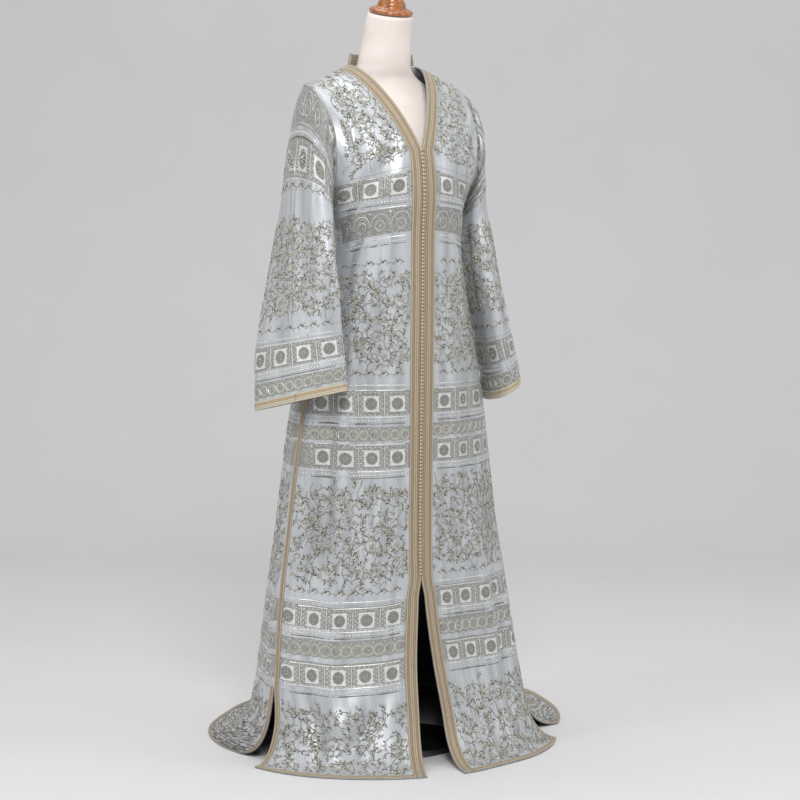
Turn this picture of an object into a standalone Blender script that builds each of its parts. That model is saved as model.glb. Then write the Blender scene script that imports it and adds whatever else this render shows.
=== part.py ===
"""Moroccan kaftan, open down the front and buttoned, on a limbless dress form.

Units are metres and +Z is up. The front faces -Y, and the wearer's right is -X. The part stands on
the floor, z = 0, with the origin under the centre of its box.
"""
import math
from collections import namedtuple

import bmesh
import bpy
import numpy as np

# Cloth and trimming
CLOTH = 0.002            # thickness of every cloth wall
SEAM_GAP = 0.0003        # between neighbouring pieces
BRAID = 0.0015           # thickness of the corded braid
FRONT_BRAID_WIDTH = 0.028
SIDE_BRAID_WIDTH = 0.014
HEM_BRAID_WIDTH = 0.017
CUFF_BRAID_WIDTH = 0.018
BUTTON_ROW_WIDTH = 0.004
BUTTON_ROW_THICK = 0.003
BUTTON_ROW_INSET = 0.05  # share of the row's width kept clear of the centre line

# Heights of the cut
FLOOR_CLOTH = 0.0014     # mid-height of cloth that lies on the floor
FLARE_TOP = 0.10         # below this the skirt sweeps out to its hem
FLARE_PULL = 0.25        # how far the sweep's control points lie out towards the hem
FOLD_FADE = 0.45         # height over which a fold grows to its full depth
SIDE_SLIT_TOP = 0.16
FRONT_SLIT_TOP = 0.387
SIDE_BRAID_TOP = 0.87
UNDERARM = 1.19
NECK_SIDE_HEIGHT = 1.475
SHOULDER_SLOPE = 0.41    # fall of the shoulder for each metre outward

# Places across the shoulders
NECK_HALF_WIDTH = 0.078
SHOULDER_Y = 0.06        # the shoulder line, front to back
BACK_NECK_DEPTH = 0.062  # how far the neck edge curves behind the shoulder line
V_BOTTOM = 0.32          # share of the way from underarm to shoulder where the V begins
CHEST_ROUNDNESS = 0.56   # power of the cosine that brings the chest over to the shoulder
CHEST_SPREAD = 1.2       # how much flatter the chest gets towards the shoulder
CHEST_EASE = 0.35        # and how much sooner it turns away to the arm
BLADE_BULGE = 0.035      # extra fullness over the shoulder blades
NECK_CURVE = 1.05        # power by which the neckline leaves the V
SEAM_ANGLE = 82.0        # side seam, in degrees round from the centre front
SLIT_SPREAD = 3.0        # degrees that each slit edge has turned away at the flare

# Collar and buttons
COLLAR_HEIGHT = 0.024
COLLAR_LEAN = 0.004
COLLAR_HALF_WIDTH = 0.0762
COLLAR_SETBACK = 0.0013  # behind the shoulder line
COLLAR_CLEARANCE = 0.0018  # above the cloth of the neck

# Dress form and stand
POLE_RADIUS = 0.016
BASE_RADIUS = 0.15
BASE_THICK = 0.014
BASE_SEGMENTS = 48
POLE_SEGMENTS = 20
POLE_Y = 0.02
TORSO_BOTTOM = 0.80
CAP_TILT = 14.0          # the neck cap leans to the front, in degrees
CAP_Y = 0.020
CAP_HEIGHT = 1.584

Section = namedtuple("Section", "height half_width front_y side_y back_y slit")
SECTIONS = (
    Section(height=0.10, half_width=0.306, front_y=-0.168, side_y=-0.005, back_y=0.360, slit=0.028),
    Section(height=0.20, half_width=0.294, front_y=-0.142, side_y=0.008, back_y=0.315, slit=0.020),
    Section(height=0.321, half_width=0.280, front_y=-0.126, side_y=0.022, back_y=0.278, slit=0.009),
    Section(height=0.474, half_width=0.256, front_y=-0.119, side_y=0.033, back_y=0.250, slit=0.0),
    Section(height=0.618, half_width=0.237, front_y=-0.121, side_y=0.034, back_y=0.235, slit=0.0),
    Section(height=0.747, half_width=0.218, front_y=-0.124, side_y=0.030, back_y=0.218, slit=0.0),
    Section(height=0.870, half_width=0.190, front_y=-0.127, side_y=0.020, back_y=0.178, slit=0.0),
    Section(height=1.000, half_width=0.158, front_y=-0.130, side_y=0.005, back_y=0.128, slit=0.0),
    Section(height=1.130, half_width=0.141, front_y=-0.132, side_y=-0.006, back_y=0.092, slit=0.0),
    Section(height=1.190, half_width=0.160, front_y=-0.138, side_y=0.020, back_y=0.106, slit=0.0),
)
# Reach of the hem on the floor, from the centre, at angles round from the centre front
Hem = namedtuple("Hem", "angle reach")
FRONT_HEM = {
    "right": (Hem(13.9, 0.296), Hem(40.0, 0.313), Hem(62.0, 0.338), Hem(82.5, 0.358)),
    "left": (Hem(2.5, 0.294), Hem(25.0, 0.293), Hem(45.0, 0.318), Hem(73.0, 0.362)),
}
BACK_HEM = (
    Hem(104.4, 0.347), Hem(120.0, 0.395), Hem(137.4, 0.448), Hem(155.0, 0.500), Hem(170.0, 0.563),
    Hem(190.0, 0.600), Hem(214.0, 0.640), Hem(236.4, 0.651), Hem(243.5, 0.593), Hem(257.5, 0.494),
    Hem(268.2, 0.423),
)
# Soft upright folds of the skirt: place round the body, depth inward, half-width, and where they start
Fold = namedtuple("Fold", "angle depth spread top")
FOLDS = (
    Fold(angle=30.0, depth=0.008, spread=9.0, top=0.75),
    Fold(angle=56.0, depth=0.018, spread=9.0, top=0.95),
    Fold(angle=104.0, depth=0.012, spread=9.0, top=0.90),
    Fold(angle=129.0, depth=0.016, spread=8.0, top=1.00),
    Fold(angle=153.0, depth=0.020, spread=8.0, top=1.05),
    Fold(angle=180.0, depth=0.014, spread=8.0, top=1.00),
    Fold(angle=208.0, depth=0.020, spread=8.0, top=1.05),
    Fold(angle=233.0, depth=0.016, spread=8.0, top=1.00),
    Fold(angle=258.0, depth=0.012, spread=9.0, top=0.90),
    Fold(angle=306.0, depth=0.014, spread=9.0, top=0.90),
    Fold(angle=334.0, depth=0.008, spread=8.0, top=0.70),
)
ARMHOLE_GAP = 0.00045    # between the sleeve's first ring and the panels
SHOULDER_HOLD = 1.6      # how far round from the shoulder the ring shares the panels' normals
Armhole = namedtuple("Armhole", "share right left")
ARMHOLE = (
    Armhole(0.0, 0.158, 0.158), Armhole(0.05, 0.161, 0.159), Armhole(0.15, 0.166, 0.162),
    Armhole(0.32, 0.169, 0.162), Armhole(0.50, 0.170, 0.161), Armhole(0.69, 0.173, 0.161),
    Armhole(0.85, 0.179, 0.164), Armhole(0.96, 0.185, 0.168), Armhole(1.0, 0.188, 0.170),
)
Cuff = namedtuple("Cuff", "height x y out rise half_width turn lift")
SLEEVE_ROWS = {
    "right": (
        Cuff(1.300, 0.1830, 0.027, 0.0160, 0.105, 0.091, 0.0, 0.000),
        Cuff(1.268, 0.1895, 0.025, 0.0220, 0.080, 0.091, 2.0, 0.000),
        Cuff(1.222, 0.1965, 0.022, 0.0270, 0.047, 0.088, 4.0, 0.000),
        Cuff(1.165, 0.2030, 0.014, 0.0310, 0.018, 0.090, 8.0, 0.002),
        Cuff(1.100, 0.2110, 0.008, 0.0330, 0.000, 0.094, 13.0, 0.005),
        Cuff(1.000, 0.2220, -0.004, 0.0310, 0.000, 0.100, 22.0, 0.010),
        Cuff(0.890, 0.2360, -0.018, 0.0280, 0.000, 0.105, 32.0, 0.018),
        Cuff(0.786, 0.2405, -0.036, 0.0265, 0.000, 0.107, 38.0, 0.025),
        Cuff(0.768, 0.2405, -0.038, 0.0265, 0.000, 0.1065, 38.5, 0.025),
    ),
    "left": (
        Cuff(1.2685, 0.1800, 0.024, 0.0155, 0.0915, 0.094, 0.0, 0.000),
        Cuff(1.2375, 0.1840, 0.024, 0.0190, 0.0725, 0.094, 4.0, 0.000),
        Cuff(1.205, 0.1885, 0.024, 0.0225, 0.047, 0.093, 8.0, 0.000),
        Cuff(1.165, 0.1950, 0.024, 0.0250, 0.018, 0.089, 12.5, 0.000),
        Cuff(1.100, 0.2030, 0.016, 0.0300, 0.002, 0.093, 16.0, 0.000),
        Cuff(1.000, 0.2150, 0.006, 0.0330, 0.006, 0.098, 17.0, 0.000),
        Cuff(0.890, 0.2380, -0.002, 0.0350, 0.012, 0.102, 18.0, 0.000),
        Cuff(0.790, 0.2565, -0.008, 0.0360, 0.020, 0.105, 18.0, 0.000),
        Cuff(0.772, 0.2575, -0.009, 0.0360, 0.020, 0.1055, 18.0, 0.000),
    ),
}
Girth = namedtuple("Girth", "height half_width front_y back_y tilt")
TORSO = (
    Girth(0.800, 0.170, -0.104, 0.118, 0), Girth(0.870, 0.168, -0.108, 0.124, 0),
    Girth(0.950, 0.155, -0.108, 0.112, 0), Girth(1.040, 0.136, -0.112, 0.088, 0),
    Girth(1.130, 0.122, -0.112, 0.074, 0), Girth(1.190, 0.136, -0.120, 0.080, 0),
    Girth(1.250, 0.141, -0.116, 0.088, 0), Girth(1.310, 0.138, -0.092, 0.098, 0),
    Girth(1.370, 0.139, -0.048, 0.104, 0), Girth(1.405, 0.130, -0.014, 0.096, 0),
    Girth(1.430, 0.108, 0.008, 0.090, 0), Girth(1.448, 0.080, 0.012, 0.098, 0),
    Girth(1.465, 0.064, 0.004, 0.106, 2), Girth(1.495, 0.0570, -0.004, 0.101, 6),
    Girth(1.535, 0.0515, -0.012, 0.087, 11), Girth(1.565, 0.0500, -0.020, 0.076, 14),
    Girth(1.5827, 0.0480, -0.028, 0.068, 14),
)
Turning = namedtuple("Turning", "radius height")
CAP_PROFILE = (
    Turning(0.0, 0.086), Turning(0.010, 0.084), Turning(0.017, 0.076), Turning(0.019, 0.066),
    Turning(0.015, 0.057), Turning(0.013, 0.050), Turning(0.020, 0.045), Turning(0.024, 0.038),
    Turning(0.023, 0.030), Turning(0.029, 0.026), Turning(0.031, 0.020), Turning(0.030, 0.014),
    Turning(0.044, 0.011), Turning(0.048, 0.007), Turning(0.048, 0.003), Turning(0.045, 0.0),
    Turning(0.0, 0.0),
)

# How finely each piece is drawn
SKIRT_HEIGHTS = (0.10, 0.16, 0.25, 0.387, 0.50, 0.618, 0.747, 0.87, 0.96, 1.05, 1.13, 1.19)
FLARE_STEPS = (0.78, 0.52, 0.26)
HEM_STEP = 0.02                     # share of the flare over which its length is measured at the hem
FLARE_ROWS = 2 + len(FLARE_STEPS)   # the hem, the hem braid's upper edge, and the steps above it
FRONT_COLUMNS = 11
BACK_COLUMNS = 22
TORSO_POINTS = 28
TURNED_STEPS = 24
COLLAR_COLUMNS = 14
DENSE = 90
MERGE = 0.00001                     # points of a turned piece that are closer are one

CREAM = (0.80, 0.76, 0.69)
SATIN = (0.40, 0.44, 0.50)
GOLD_BRAID = (0.44, 0.33, 0.19)
CUFF_GOLD = (0.58, 0.49, 0.33)
CORD = (0.50, 0.40, 0.24)
WOOD = (0.40, 0.19, 0.06)
STEEL = (0.35, 0.35, 0.36)


def clear_scene():
    """Remove whatever the file opened with."""
    for item in list(bpy.data.objects):
        bpy.data.objects.remove(item, do_unlink=True)


def through(places, values, where):
    """A smooth curve through values at rising places, read at where."""
    places = np.asarray(places, float)
    values = np.asarray(values, float)
    where = np.clip(np.asarray(where, float), places[0], places[-1])
    slopes = np.gradient(values, places)
    i = np.clip(np.searchsorted(places, where, side="right") - 1, 0, len(places) - 2)
    step = places[i + 1] - places[i]
    t = (where - places[i]) / step
    return (
        values[i] * (2 * t**3 - 3 * t**2 + 1) + slopes[i] * step * (t**3 - 2 * t**2 + t)
        + values[i + 1] * (3 * t**2 - 2 * t**3) + slopes[i + 1] * step * (t**3 - t**2)
    )


def column(rows, name):
    """One named column of a table."""
    return [getattr(row, name) for row in rows]


def section_value(name, height):
    """A measure of the body's section at a height."""
    return float(through(column(SECTIONS, "height"), column(SECTIONS, name), height))


def round_body(angles, height):
    """Points round the garment at a height, for angles from the centre front by the wearer's right."""
    turn = np.radians(angles)
    side_y = section_value("side_y", height)
    front = side_y - section_value("front_y", height)
    back = section_value("back_y", height) - side_y
    depth = np.where(np.cos(turn) > 0, front, back)
    inward = np.zeros(len(turn))
    for fold in FOLDS:
        grown = np.clip((fold.top - height) / FOLD_FADE, 0.0, 1.0)
        eased = grown * grown * (3 - 2 * grown)
        inward += fold.depth * eased * np.exp(-((angles - fold.angle) / fold.spread) ** 2)
    return np.stack([
        -(section_value("half_width", height) - inward) * np.sin(turn),
        side_y - (depth - inward) * np.cos(turn),
        np.full(len(turn), height),
    ], axis=1)


def resample(curve, distances):
    """Points of a polyline at distances along it."""
    walked = np.concatenate([[0.0], np.cumsum(np.linalg.norm(np.diff(curve, axis=0), axis=1))])
    return np.stack([np.interp(distances, walked, curve[:, k]) for k in range(3)], axis=1)


def length_of(curve):
    """Length of a polyline."""
    return float(np.linalg.norm(np.diff(curve, axis=0), axis=1).sum())


def slit_turn(height):
    """Degrees that a side slit's edge has turned from the seam at a height."""
    return SLIT_SPREAD * max(0.0, (SIDE_SLIT_TOP - height) / (SIDE_SLIT_TOP - FLARE_TOP))


def panel_angles(panel, height):
    """First and last angle that a panel covers at a height."""
    seam = math.radians(SEAM_ANGLE)
    front_depth = section_value("side_y", height) - section_value("front_y", height)
    speed = math.hypot(section_value("half_width", height) * math.cos(seam), front_depth * math.sin(seam))
    gap_angle = math.degrees(SEAM_GAP / 2 / speed)
    opening = max(SEAM_GAP / 2, section_value("slit", height) if height < FRONT_SLIT_TOP else 0.0)
    start = math.degrees(math.asin(opening / section_value("half_width", height)))
    side = SEAM_ANGLE - gap_angle - slit_turn(height)
    if panel == "right":
        return start, side
    if panel == "left":
        return 360.0 - start, 360.0 - side
    side = SEAM_ANGLE + gap_angle + slit_turn(height)
    return side, 360.0 - side


def hem_curve(panel):
    """Points of a panel's hem on the floor."""
    if panel == "back":
        rows = BACK_HEM
    else:
        rows = FRONT_HEM[panel]
    angles = np.linspace(rows[0].angle, rows[-1].angle, DENSE)
    reach = through(column(rows, "angle"), column(rows, "reach"), angles)
    turn = np.radians(angles)
    side = 1.0 if panel == "left" else -1.0
    return np.stack([side * reach * np.sin(turn), -reach * np.cos(turn), np.full(DENSE, FLOOR_CLOTH)], axis=1)


def spaced(curve, columns, edges):
    """Points along a curve: its ends, the edge widths of its trimmings, and even steps between."""
    total = length_of(curve)
    first, last = edges
    middle = np.linspace(first, total - last, columns - 1)
    return resample(curve, np.concatenate([[0.0], middle, [total]]))


def neck_edge(share):
    """Half-width of the neckline at a share of the way from underarm to shoulder."""
    if share <= V_BOTTOM:
        return SEAM_GAP / 2
    return SEAM_GAP / 2 + NECK_HALF_WIDTH * ((share - V_BOTTOM) / (1 - V_BOTTOM)) ** NECK_CURVE


def chest_curve(panel, share):
    """Points across a panel above the underarm, from its first edge to its last."""
    shares = column(ARMHOLE, "share")
    right = -float(through(shares, column(ARMHOLE, "right"), share))
    left = float(through(shares, column(ARMHOLE, "left"), share))
    if panel == "back":
        across = np.linspace(right, left, DENSE)
    elif panel == "right":
        across = np.linspace(-neck_edge(share), right, DENSE)
    else:
        across = np.linspace(neck_edge(share), left, DENSE)
    half = SECTIONS[-1].half_width * (1 + CHEST_SPREAD * share)
    roundness = (1 - (across / half) ** 2) ** (0.5 + CHEST_EASE * share)
    side_y = SECTIONS[-1].side_y
    shoulder_y = np.full(DENSE, SHOULDER_Y)
    top = NECK_SIDE_HEIGHT - SHOULDER_SLOPE * (np.abs(across) - NECK_HALF_WIDTH)
    if panel == "back":
        within = np.clip(1 - (across / NECK_HALF_WIDTH) ** 2, 0, 1)
        shoulder_y = SHOULDER_Y + SEAM_GAP + BACK_NECK_DEPTH * np.sqrt(within)
        top = np.minimum(top, NECK_SIDE_HEIGHT)
        full = side_y + (SECTIONS[-1].back_y - side_y) * roundness + BLADE_BULGE * math.sin(math.pi * share)
    else:
        full = side_y + (SECTIONS[-1].front_y - side_y) * roundness
    over = max(0.0, math.cos(share * math.pi / 2)) ** CHEST_ROUNDNESS
    return np.stack([
        across,
        shoulder_y + (full - shoulder_y) * over,
        UNDERARM + (top - UNDERARM) * share,
    ], axis=1)


def panel_grid(panel, columns, edges):
    """Rows of points of a panel, from its hem to its shoulder, each with the same columns."""
    ends = spaced(hem_curve(panel), columns, edges)
    start = round_body(np.linspace(*panel_angles(panel, FLARE_TOP), DENSE), FLARE_TOP)
    start = spaced(start, columns, edges)
    control = start + FLARE_PULL * (ends - start)
    control[:, 2] = FLOOR_CLOTH

    def flare(q):
        q = np.asarray(q)[..., None]
        return start * (1 - q) ** 2 + control * 2 * q * (1 - q) + ends * q**2

    rows = [flare(np.ones(columns + 1))]
    near = flare(np.full(columns + 1, 1 - HEM_STEP))
    speed = np.linalg.norm(rows[0] - near, axis=1) / HEM_STEP
    braid_top = 1 - HEM_BRAID_WIDTH / speed
    rows.append(flare(braid_top))
    rows += [flare(braid_top * step) for step in FLARE_STEPS]
    for height in SKIRT_HEIGHTS:
        curve = round_body(np.linspace(*panel_angles(panel, height), DENSE), height)
        rows.append(spaced(curve, columns, edges))
    for share in column(ARMHOLE, "share")[1:]:
        rows.append(spaced(chest_curve(panel, share), columns, edges))
    return np.array(rows)


def grid_normals(points, closed=False):
    """Unit normals of a grid of points, by differences along its rows and columns."""
    along = np.gradient(points, axis=0)
    if closed:
        across = np.roll(points, -1, axis=1) - np.roll(points, 1, axis=1)
    else:
        across = np.gradient(points, axis=1)
    normals = np.cross(across, along)
    return normals / np.linalg.norm(normals, axis=2, keepdims=True)


def panel_normals(panel, points):
    """Outward normals of a panel, shared with its neighbours at the centre front and shoulder seams."""
    normals = grid_normals(points)
    if panel != "left":
        normals = -normals
    lean = math.atan(SHOULDER_SLOPE)
    outside = np.abs(points[-1, :, 0]) > NECK_HALF_WIDTH - SEAM_GAP
    for k in np.flatnonzero(outside):
        side = math.copysign(1.0, points[-1, k, 0])
        normals[-1, k] = (side * math.sin(lean), 0.0, math.cos(lean))
    if panel != "back":
        normals[:, 0, 0] = 0.0
        normals[:, 0] /= np.linalg.norm(normals[:, 0], axis=1, keepdims=True)
    return normals


def wall(name, points, normals, low, high, material, closed=False):
    """A closed wall between two offsets of a grid, with the same diagonal in every cell."""
    rows, columns = points.shape[:2]
    layers = [points + normals * high, points + normals * low]
    mesh = bmesh.new()
    verts = [[[mesh.verts.new(p) for p in row] for row in layer] for layer in layers]
    span = columns if closed else columns - 1

    def cell(a, b, c, d):
        mesh.faces.new((a, b, c))
        mesh.faces.new((a, c, d))

    for outer in verts:
        for i in range(rows - 1):
            for j in range(span):
                k = (j + 1) % columns
                cell(outer[i][j], outer[i][k], outer[i + 1][k], outer[i + 1][j])
    top, under = verts
    for i in (0, rows - 1):
        for j in range(span):
            k = (j + 1) % columns
            cell(top[i][j], under[i][j], under[i][k], top[i][k])
    if not closed:
        for j in (0, columns - 1):
            for i in range(rows - 1):
                cell(top[i][j], top[i + 1][j], under[i + 1][j], under[i][j])
    return solid(name, mesh, material)


def solid(name, mesh, material):
    """Turn a bmesh into a named object with outward faces."""
    bmesh.ops.recalc_face_normals(mesh, faces=mesh.faces)
    if mesh.calc_volume(signed=True) < 0:
        bmesh.ops.reverse_faces(mesh, faces=mesh.faces)
    data = bpy.data.meshes.new(name)
    mesh.to_mesh(data)
    mesh.free()
    item = bpy.data.objects.new(name, data)
    data.materials.append(material)
    garment.objects.link(item)
    return item


def finish(name, colour, roughness, metallic=0.0):
    """A Principled material."""
    material = bpy.data.materials.new(name)
    material.use_nodes = True
    shader = material.node_tree.nodes["Principled BSDF"]
    shader.inputs["Base Color"].default_value = (*colour, 1.0)
    shader.inputs["Roughness"].default_value = roughness
    shader.inputs["Metallic"].default_value = metallic
    return material


def braid_on(name, points, normals, material, thick=BRAID, lift=0.0):
    """A strip that lies on a panel, made from the panel's own points, moved out."""
    low = CLOTH / 2 + SEAM_GAP + lift
    return wall(name, points, normals, low, low + thick, material)


def trimmed(points, axis):
    """The same strip with both ends drawn in by a seam gap."""
    strip = np.moveaxis(points.copy(), axis, 0)
    for end, inner in ((0, 1), (-1, -2)):
        reach = strip[inner] - strip[end]
        strip[end] += reach * SEAM_GAP / np.linalg.norm(reach, axis=-1, keepdims=True)
    return np.moveaxis(strip, 0, axis)


def body_grids():
    """Points and normals of the three body panels, with shared normals along the side seams."""
    front_edges = (FRONT_BRAID_WIDTH, SIDE_BRAID_WIDTH)
    grids = {side: panel_grid(side, FRONT_COLUMNS, front_edges) for side in ("right", "left")}
    grids["back"] = panel_grid("back", BACK_COLUMNS, (SIDE_BRAID_WIDTH, SIDE_BRAID_WIDTH))
    normals = {panel: panel_normals(panel, points) for panel, points in grids.items()}
    sewn = slice(FLARE_ROWS + SKIRT_HEIGHTS.index(SIDE_SLIT_TOP), FLARE_ROWS + len(SKIRT_HEIGHTS))
    for side, back_edge in (("right", 0), ("left", -1)):
        shared = normals[side][sewn, -1] + normals["back"][sewn, back_edge]
        shared /= np.linalg.norm(shared, axis=1, keepdims=True)
        normals[side][sewn, -1] = shared
        normals["back"][sewn, back_edge] = shared
    return {panel: (points, normals[panel]) for panel, points in grids.items()}


def make_front(side, grid, gold, satin):
    """A front with its edge, hem and side braids."""
    points, normals = grid
    wall("front_" + side, points, normals, -CLOTH / 2, CLOTH / 2, satin)
    braid_on("front_braid_" + side, points[:, :2], normals[:, :2], gold)
    top_row = FLARE_ROWS + SKIRT_HEIGHTS.index(SIDE_BRAID_TOP) + 1
    braid_on("side_braid_" + side, points[:top_row, -2:], normals[:top_row, -2:], gold)
    hem = trimmed(points[:2, 1:-1], 1)
    braid_on("hem_braid_" + side, hem, normals[:2, 1:-1], gold)


def make_back(grid, gold, satin):
    """The back with its hem and slit braids."""
    points, normals = grid
    wall("back", points, normals, -CLOTH / 2, CLOTH / 2, satin)
    slit_rows = FLARE_ROWS + SKIRT_HEIGHTS.index(SIDE_SLIT_TOP) + 1
    braid_on("slit_braid_right", points[:slit_rows, :2], normals[:slit_rows, :2], gold)
    braid_on("slit_braid_left", points[:slit_rows, -2:], normals[:slit_rows, -2:], gold)
    hem = trimmed(points[:2, 1:-1], 1)
    braid_on("hem_braid_back", hem, normals[:2, 1:-1], gold)


def ring_angles():
    """Angles round a sleeve that match the rows of the armhole: top, front, underarm, back."""
    down = [math.acos(2 * share - 1) for share in reversed(column(ARMHOLE, "share"))]
    return np.array(down + [2 * math.pi - a for a in reversed(down[1:-1])])


def sleeve_ring(row, side, around):
    """Points of one ring of a sleeve: outer edge first, then front, inner edge and back."""
    turn = math.radians(row.turn)
    outward = np.array([side * row.out * math.cos(turn), -row.out * math.sin(turn), row.rise])
    forward = np.array([-side * row.half_width * math.sin(turn), -row.half_width * math.cos(turn), row.lift])
    centre = np.array([side * row.x, row.y, row.height])
    return centre + np.outer(np.cos(around), outward) + np.outer(np.sin(around), forward)


def make_sleeve(name, side, front, back, satin, gold):
    """A sleeve from its armhole, which is the panels' edges, down to its cuff."""
    front_points, front_normals = front
    back_points, back_normals = back
    back_edge = 0 if side < 0 else -1
    rises = len(ARMHOLE) - 1
    seam = [(front_points[-1 - k, -1], front_normals[-1 - k, -1]) for k in range(rises + 1)]
    seam += [(back_points[-1 - rises + k, back_edge], back_normals[-1 - rises + k, back_edge])
             for k in range(1, rises)]
    around = ring_angles()
    armhole = np.array([p for p, n in seam])
    depth = np.clip(-np.cos(around), 0, 1)
    armhole[:, 0] += side * (ARMHOLE_GAP + (CLOTH + SEAM_GAP) * depth)
    rings = [armhole] + [sleeve_ring(row, side, around) for row in SLEEVE_ROWS[name]]
    points = np.array(rings)
    normals = grid_normals(points, closed=True) * (-side)
    shared = np.array([n for p, n in seam])
    shared *= np.sign(np.sum(shared * normals[0], axis=1))[:, None]
    weight = np.clip(SHOULDER_HOLD * (1 - depth), 0, 1)[:, None]
    normals[0] = shared * weight + normals[0] * (1 - weight)
    normals[0] /= np.linalg.norm(normals[0], axis=1, keepdims=True)
    wall("sleeve_" + name, points, normals, -CLOTH / 2, CLOTH / 2, satin, closed=True)
    low = CLOTH / 2 + SEAM_GAP
    wall("cuff_braid_" + name, points[-2:], normals[-2:], low, low + BRAID, gold, closed=True)


def make_collar(gold):
    """The braid that stands round the back of the neck."""
    around = np.linspace(0, math.pi, COLLAR_COLUMNS + 1)
    rows = []
    for share in (0.0, 1.0):
        lean = COLLAR_LEAN * share
        rows.append(np.stack([
            -(COLLAR_HALF_WIDTH - lean) * np.cos(around),
            SHOULDER_Y + COLLAR_SETBACK + (BACK_NECK_DEPTH - lean) * np.sin(around),
            np.full(len(around), NECK_SIDE_HEIGHT + CLOTH / 2 + COLLAR_CLEARANCE + COLLAR_HEIGHT * share),
        ], axis=1))
    points = np.array(rows)
    normals = grid_normals(points)
    wall("collar_band", points, normals, -CLOTH / 2, CLOTH / 2, gold)


def make_button_row(name, grid, cord):
    """The slim row that stands for the knotted buttons, or their loops, beside the centre line."""
    points, normals = grid
    slit_row = FLARE_ROWS + SKIRT_HEIGHTS.index(FRONT_SLIT_TOP)
    v_row = FLARE_ROWS + len(SKIRT_HEIGHTS) + column(ARMHOLE, "share").index(V_BOTTOM) - 1
    edge = points[slit_row:v_row + 1, :2]
    reach = (edge[:, 1] - edge[:, 0]) * BUTTON_ROW_WIDTH / FRONT_BRAID_WIDTH
    strip = np.stack([edge[:, 0] + reach * BUTTON_ROW_INSET, edge[:, 0] + reach], axis=1)
    braid_on(name, strip, normals[slit_row:v_row + 1, :2], cord, BUTTON_ROW_THICK, BRAID + SEAM_GAP)


def make_torso(cream):
    """The limbless torso and its neck, as one smooth closed body."""
    around = np.linspace(0, 2 * math.pi, TORSO_POINTS, endpoint=False)
    mesh = bmesh.new()
    rings = []
    for row in TORSO:
        middle = (row.front_y + row.back_y) / 2
        depth = (row.back_y - row.front_y) / 2
        drop = depth * math.sin(math.radians(row.tilt))
        rings.append([
            mesh.verts.new((row.half_width * math.sin(a), middle - depth * math.cos(a),
                            row.height - drop * math.cos(a)))
            for a in around
        ])
    for low, high in zip(rings, rings[1:]):
        for j in range(TORSO_POINTS):
            k = (j + 1) % TORSO_POINTS
            mesh.faces.new((low[j], low[k], high[k], high[j]))
    mesh.faces.new(rings[0])
    mesh.faces.new(rings[-1])
    return solid("form_torso", mesh, cream)


def make_neck_cap(wood):
    """The turned wooden cap and finial, leaning to the front with the neck."""
    mesh = bmesh.new()
    steps = TURNED_STEPS
    verts = [mesh.verts.new((row.radius, 0, row.height)) for row in CAP_PROFILE]
    edges = [mesh.edges.new(pair) for pair in zip(verts, verts[1:])]
    bmesh.ops.spin(mesh, geom=verts + edges, cent=(0, 0, 0), axis=(0, 0, 1), angle=2 * math.pi, steps=steps,
                   use_merge=True)
    bmesh.ops.remove_doubles(mesh, verts=mesh.verts, dist=MERGE)
    item = solid("neck_cap", mesh, wood)
    item.rotation_euler = (math.radians(CAP_TILT), 0, 0)
    item.location = (0, CAP_Y, CAP_HEIGHT)
    return item


def make_stand(steel):
    """The pole and the round foot under the torso."""
    def disc(name, radius, low, high, segments):
        mesh = bmesh.new()
        bmesh.ops.create_cone(mesh, cap_ends=True, segments=segments, radius1=radius, radius2=radius,
                              depth=high - low)
        bmesh.ops.translate(mesh, verts=mesh.verts, vec=(0, POLE_Y, (low + high) / 2))
        return solid(name, mesh, steel)

    disc("stand_base", BASE_RADIUS, 0.0, BASE_THICK, BASE_SEGMENTS)
    disc("stand_pole", POLE_RADIUS, BASE_THICK + SEAM_GAP, TORSO_BOTTOM - SEAM_GAP, POLE_SEGMENTS)


def centre_on_floor():
    """Bring the centre of the whole box over the origin."""
    bpy.context.view_layer.update()
    corners = np.array([item.matrix_world @ v.co for item in garment.objects for v in item.data.vertices])
    middle = (corners.min(axis=0) + corners.max(axis=0)) / 2
    for item in garment.objects:
        item.location.x -= middle[0]
        item.location.y -= middle[1]


clear_scene()
garment = bpy.data.collections.new("kaftan_on_dress_form")
bpy.context.scene.collection.children.link(garment)
satin_finish = finish("silver_blue_satin", SATIN, 0.4, 0.2)
gold_finish = finish("gold_corded_braid", GOLD_BRAID, 0.6)
cuff_finish = finish("pale_gold_braid", CUFF_GOLD, 0.6)
cord_finish = finish("knotted_cord", CORD, 0.55)
cream_finish = finish("cream_form_cloth", CREAM, 0.9)
wood_finish = finish("varnished_wood", WOOD, 0.25)
steel_finish = finish("grey_steel", STEEL, 0.4, 1.0)

body = body_grids()
make_front("right", body["right"], gold_finish, satin_finish)
make_front("left", body["left"], gold_finish, satin_finish)
make_back(body["back"], gold_finish, satin_finish)
make_sleeve("right", -1.0, body["right"], body["back"], satin_finish, cuff_finish)
make_sleeve("left", 1.0, body["left"], body["back"], satin_finish, cuff_finish)
make_collar(gold_finish)
make_button_row("button_row", body["right"], cord_finish)
make_button_row("loop_row", body["left"], cord_finish)
make_torso(cream_finish)
make_neck_cap(wood_finish)
make_stand(steel_finish)
centre_on_floor()
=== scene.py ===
"""Looks of a Moroccan kaftan on a limbless dress form.

Satin panels with soft creases, woven bands and vines in raised thread, corded braid on every edge,
and a row of knotted buttons. Units are metres, +Z is up, and the front faces -Y.
"""
import logging
import math
from dataclasses import dataclass, field
from enum import Enum
from typing import Iterable, NamedTuple, Optional, Sequence

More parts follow.
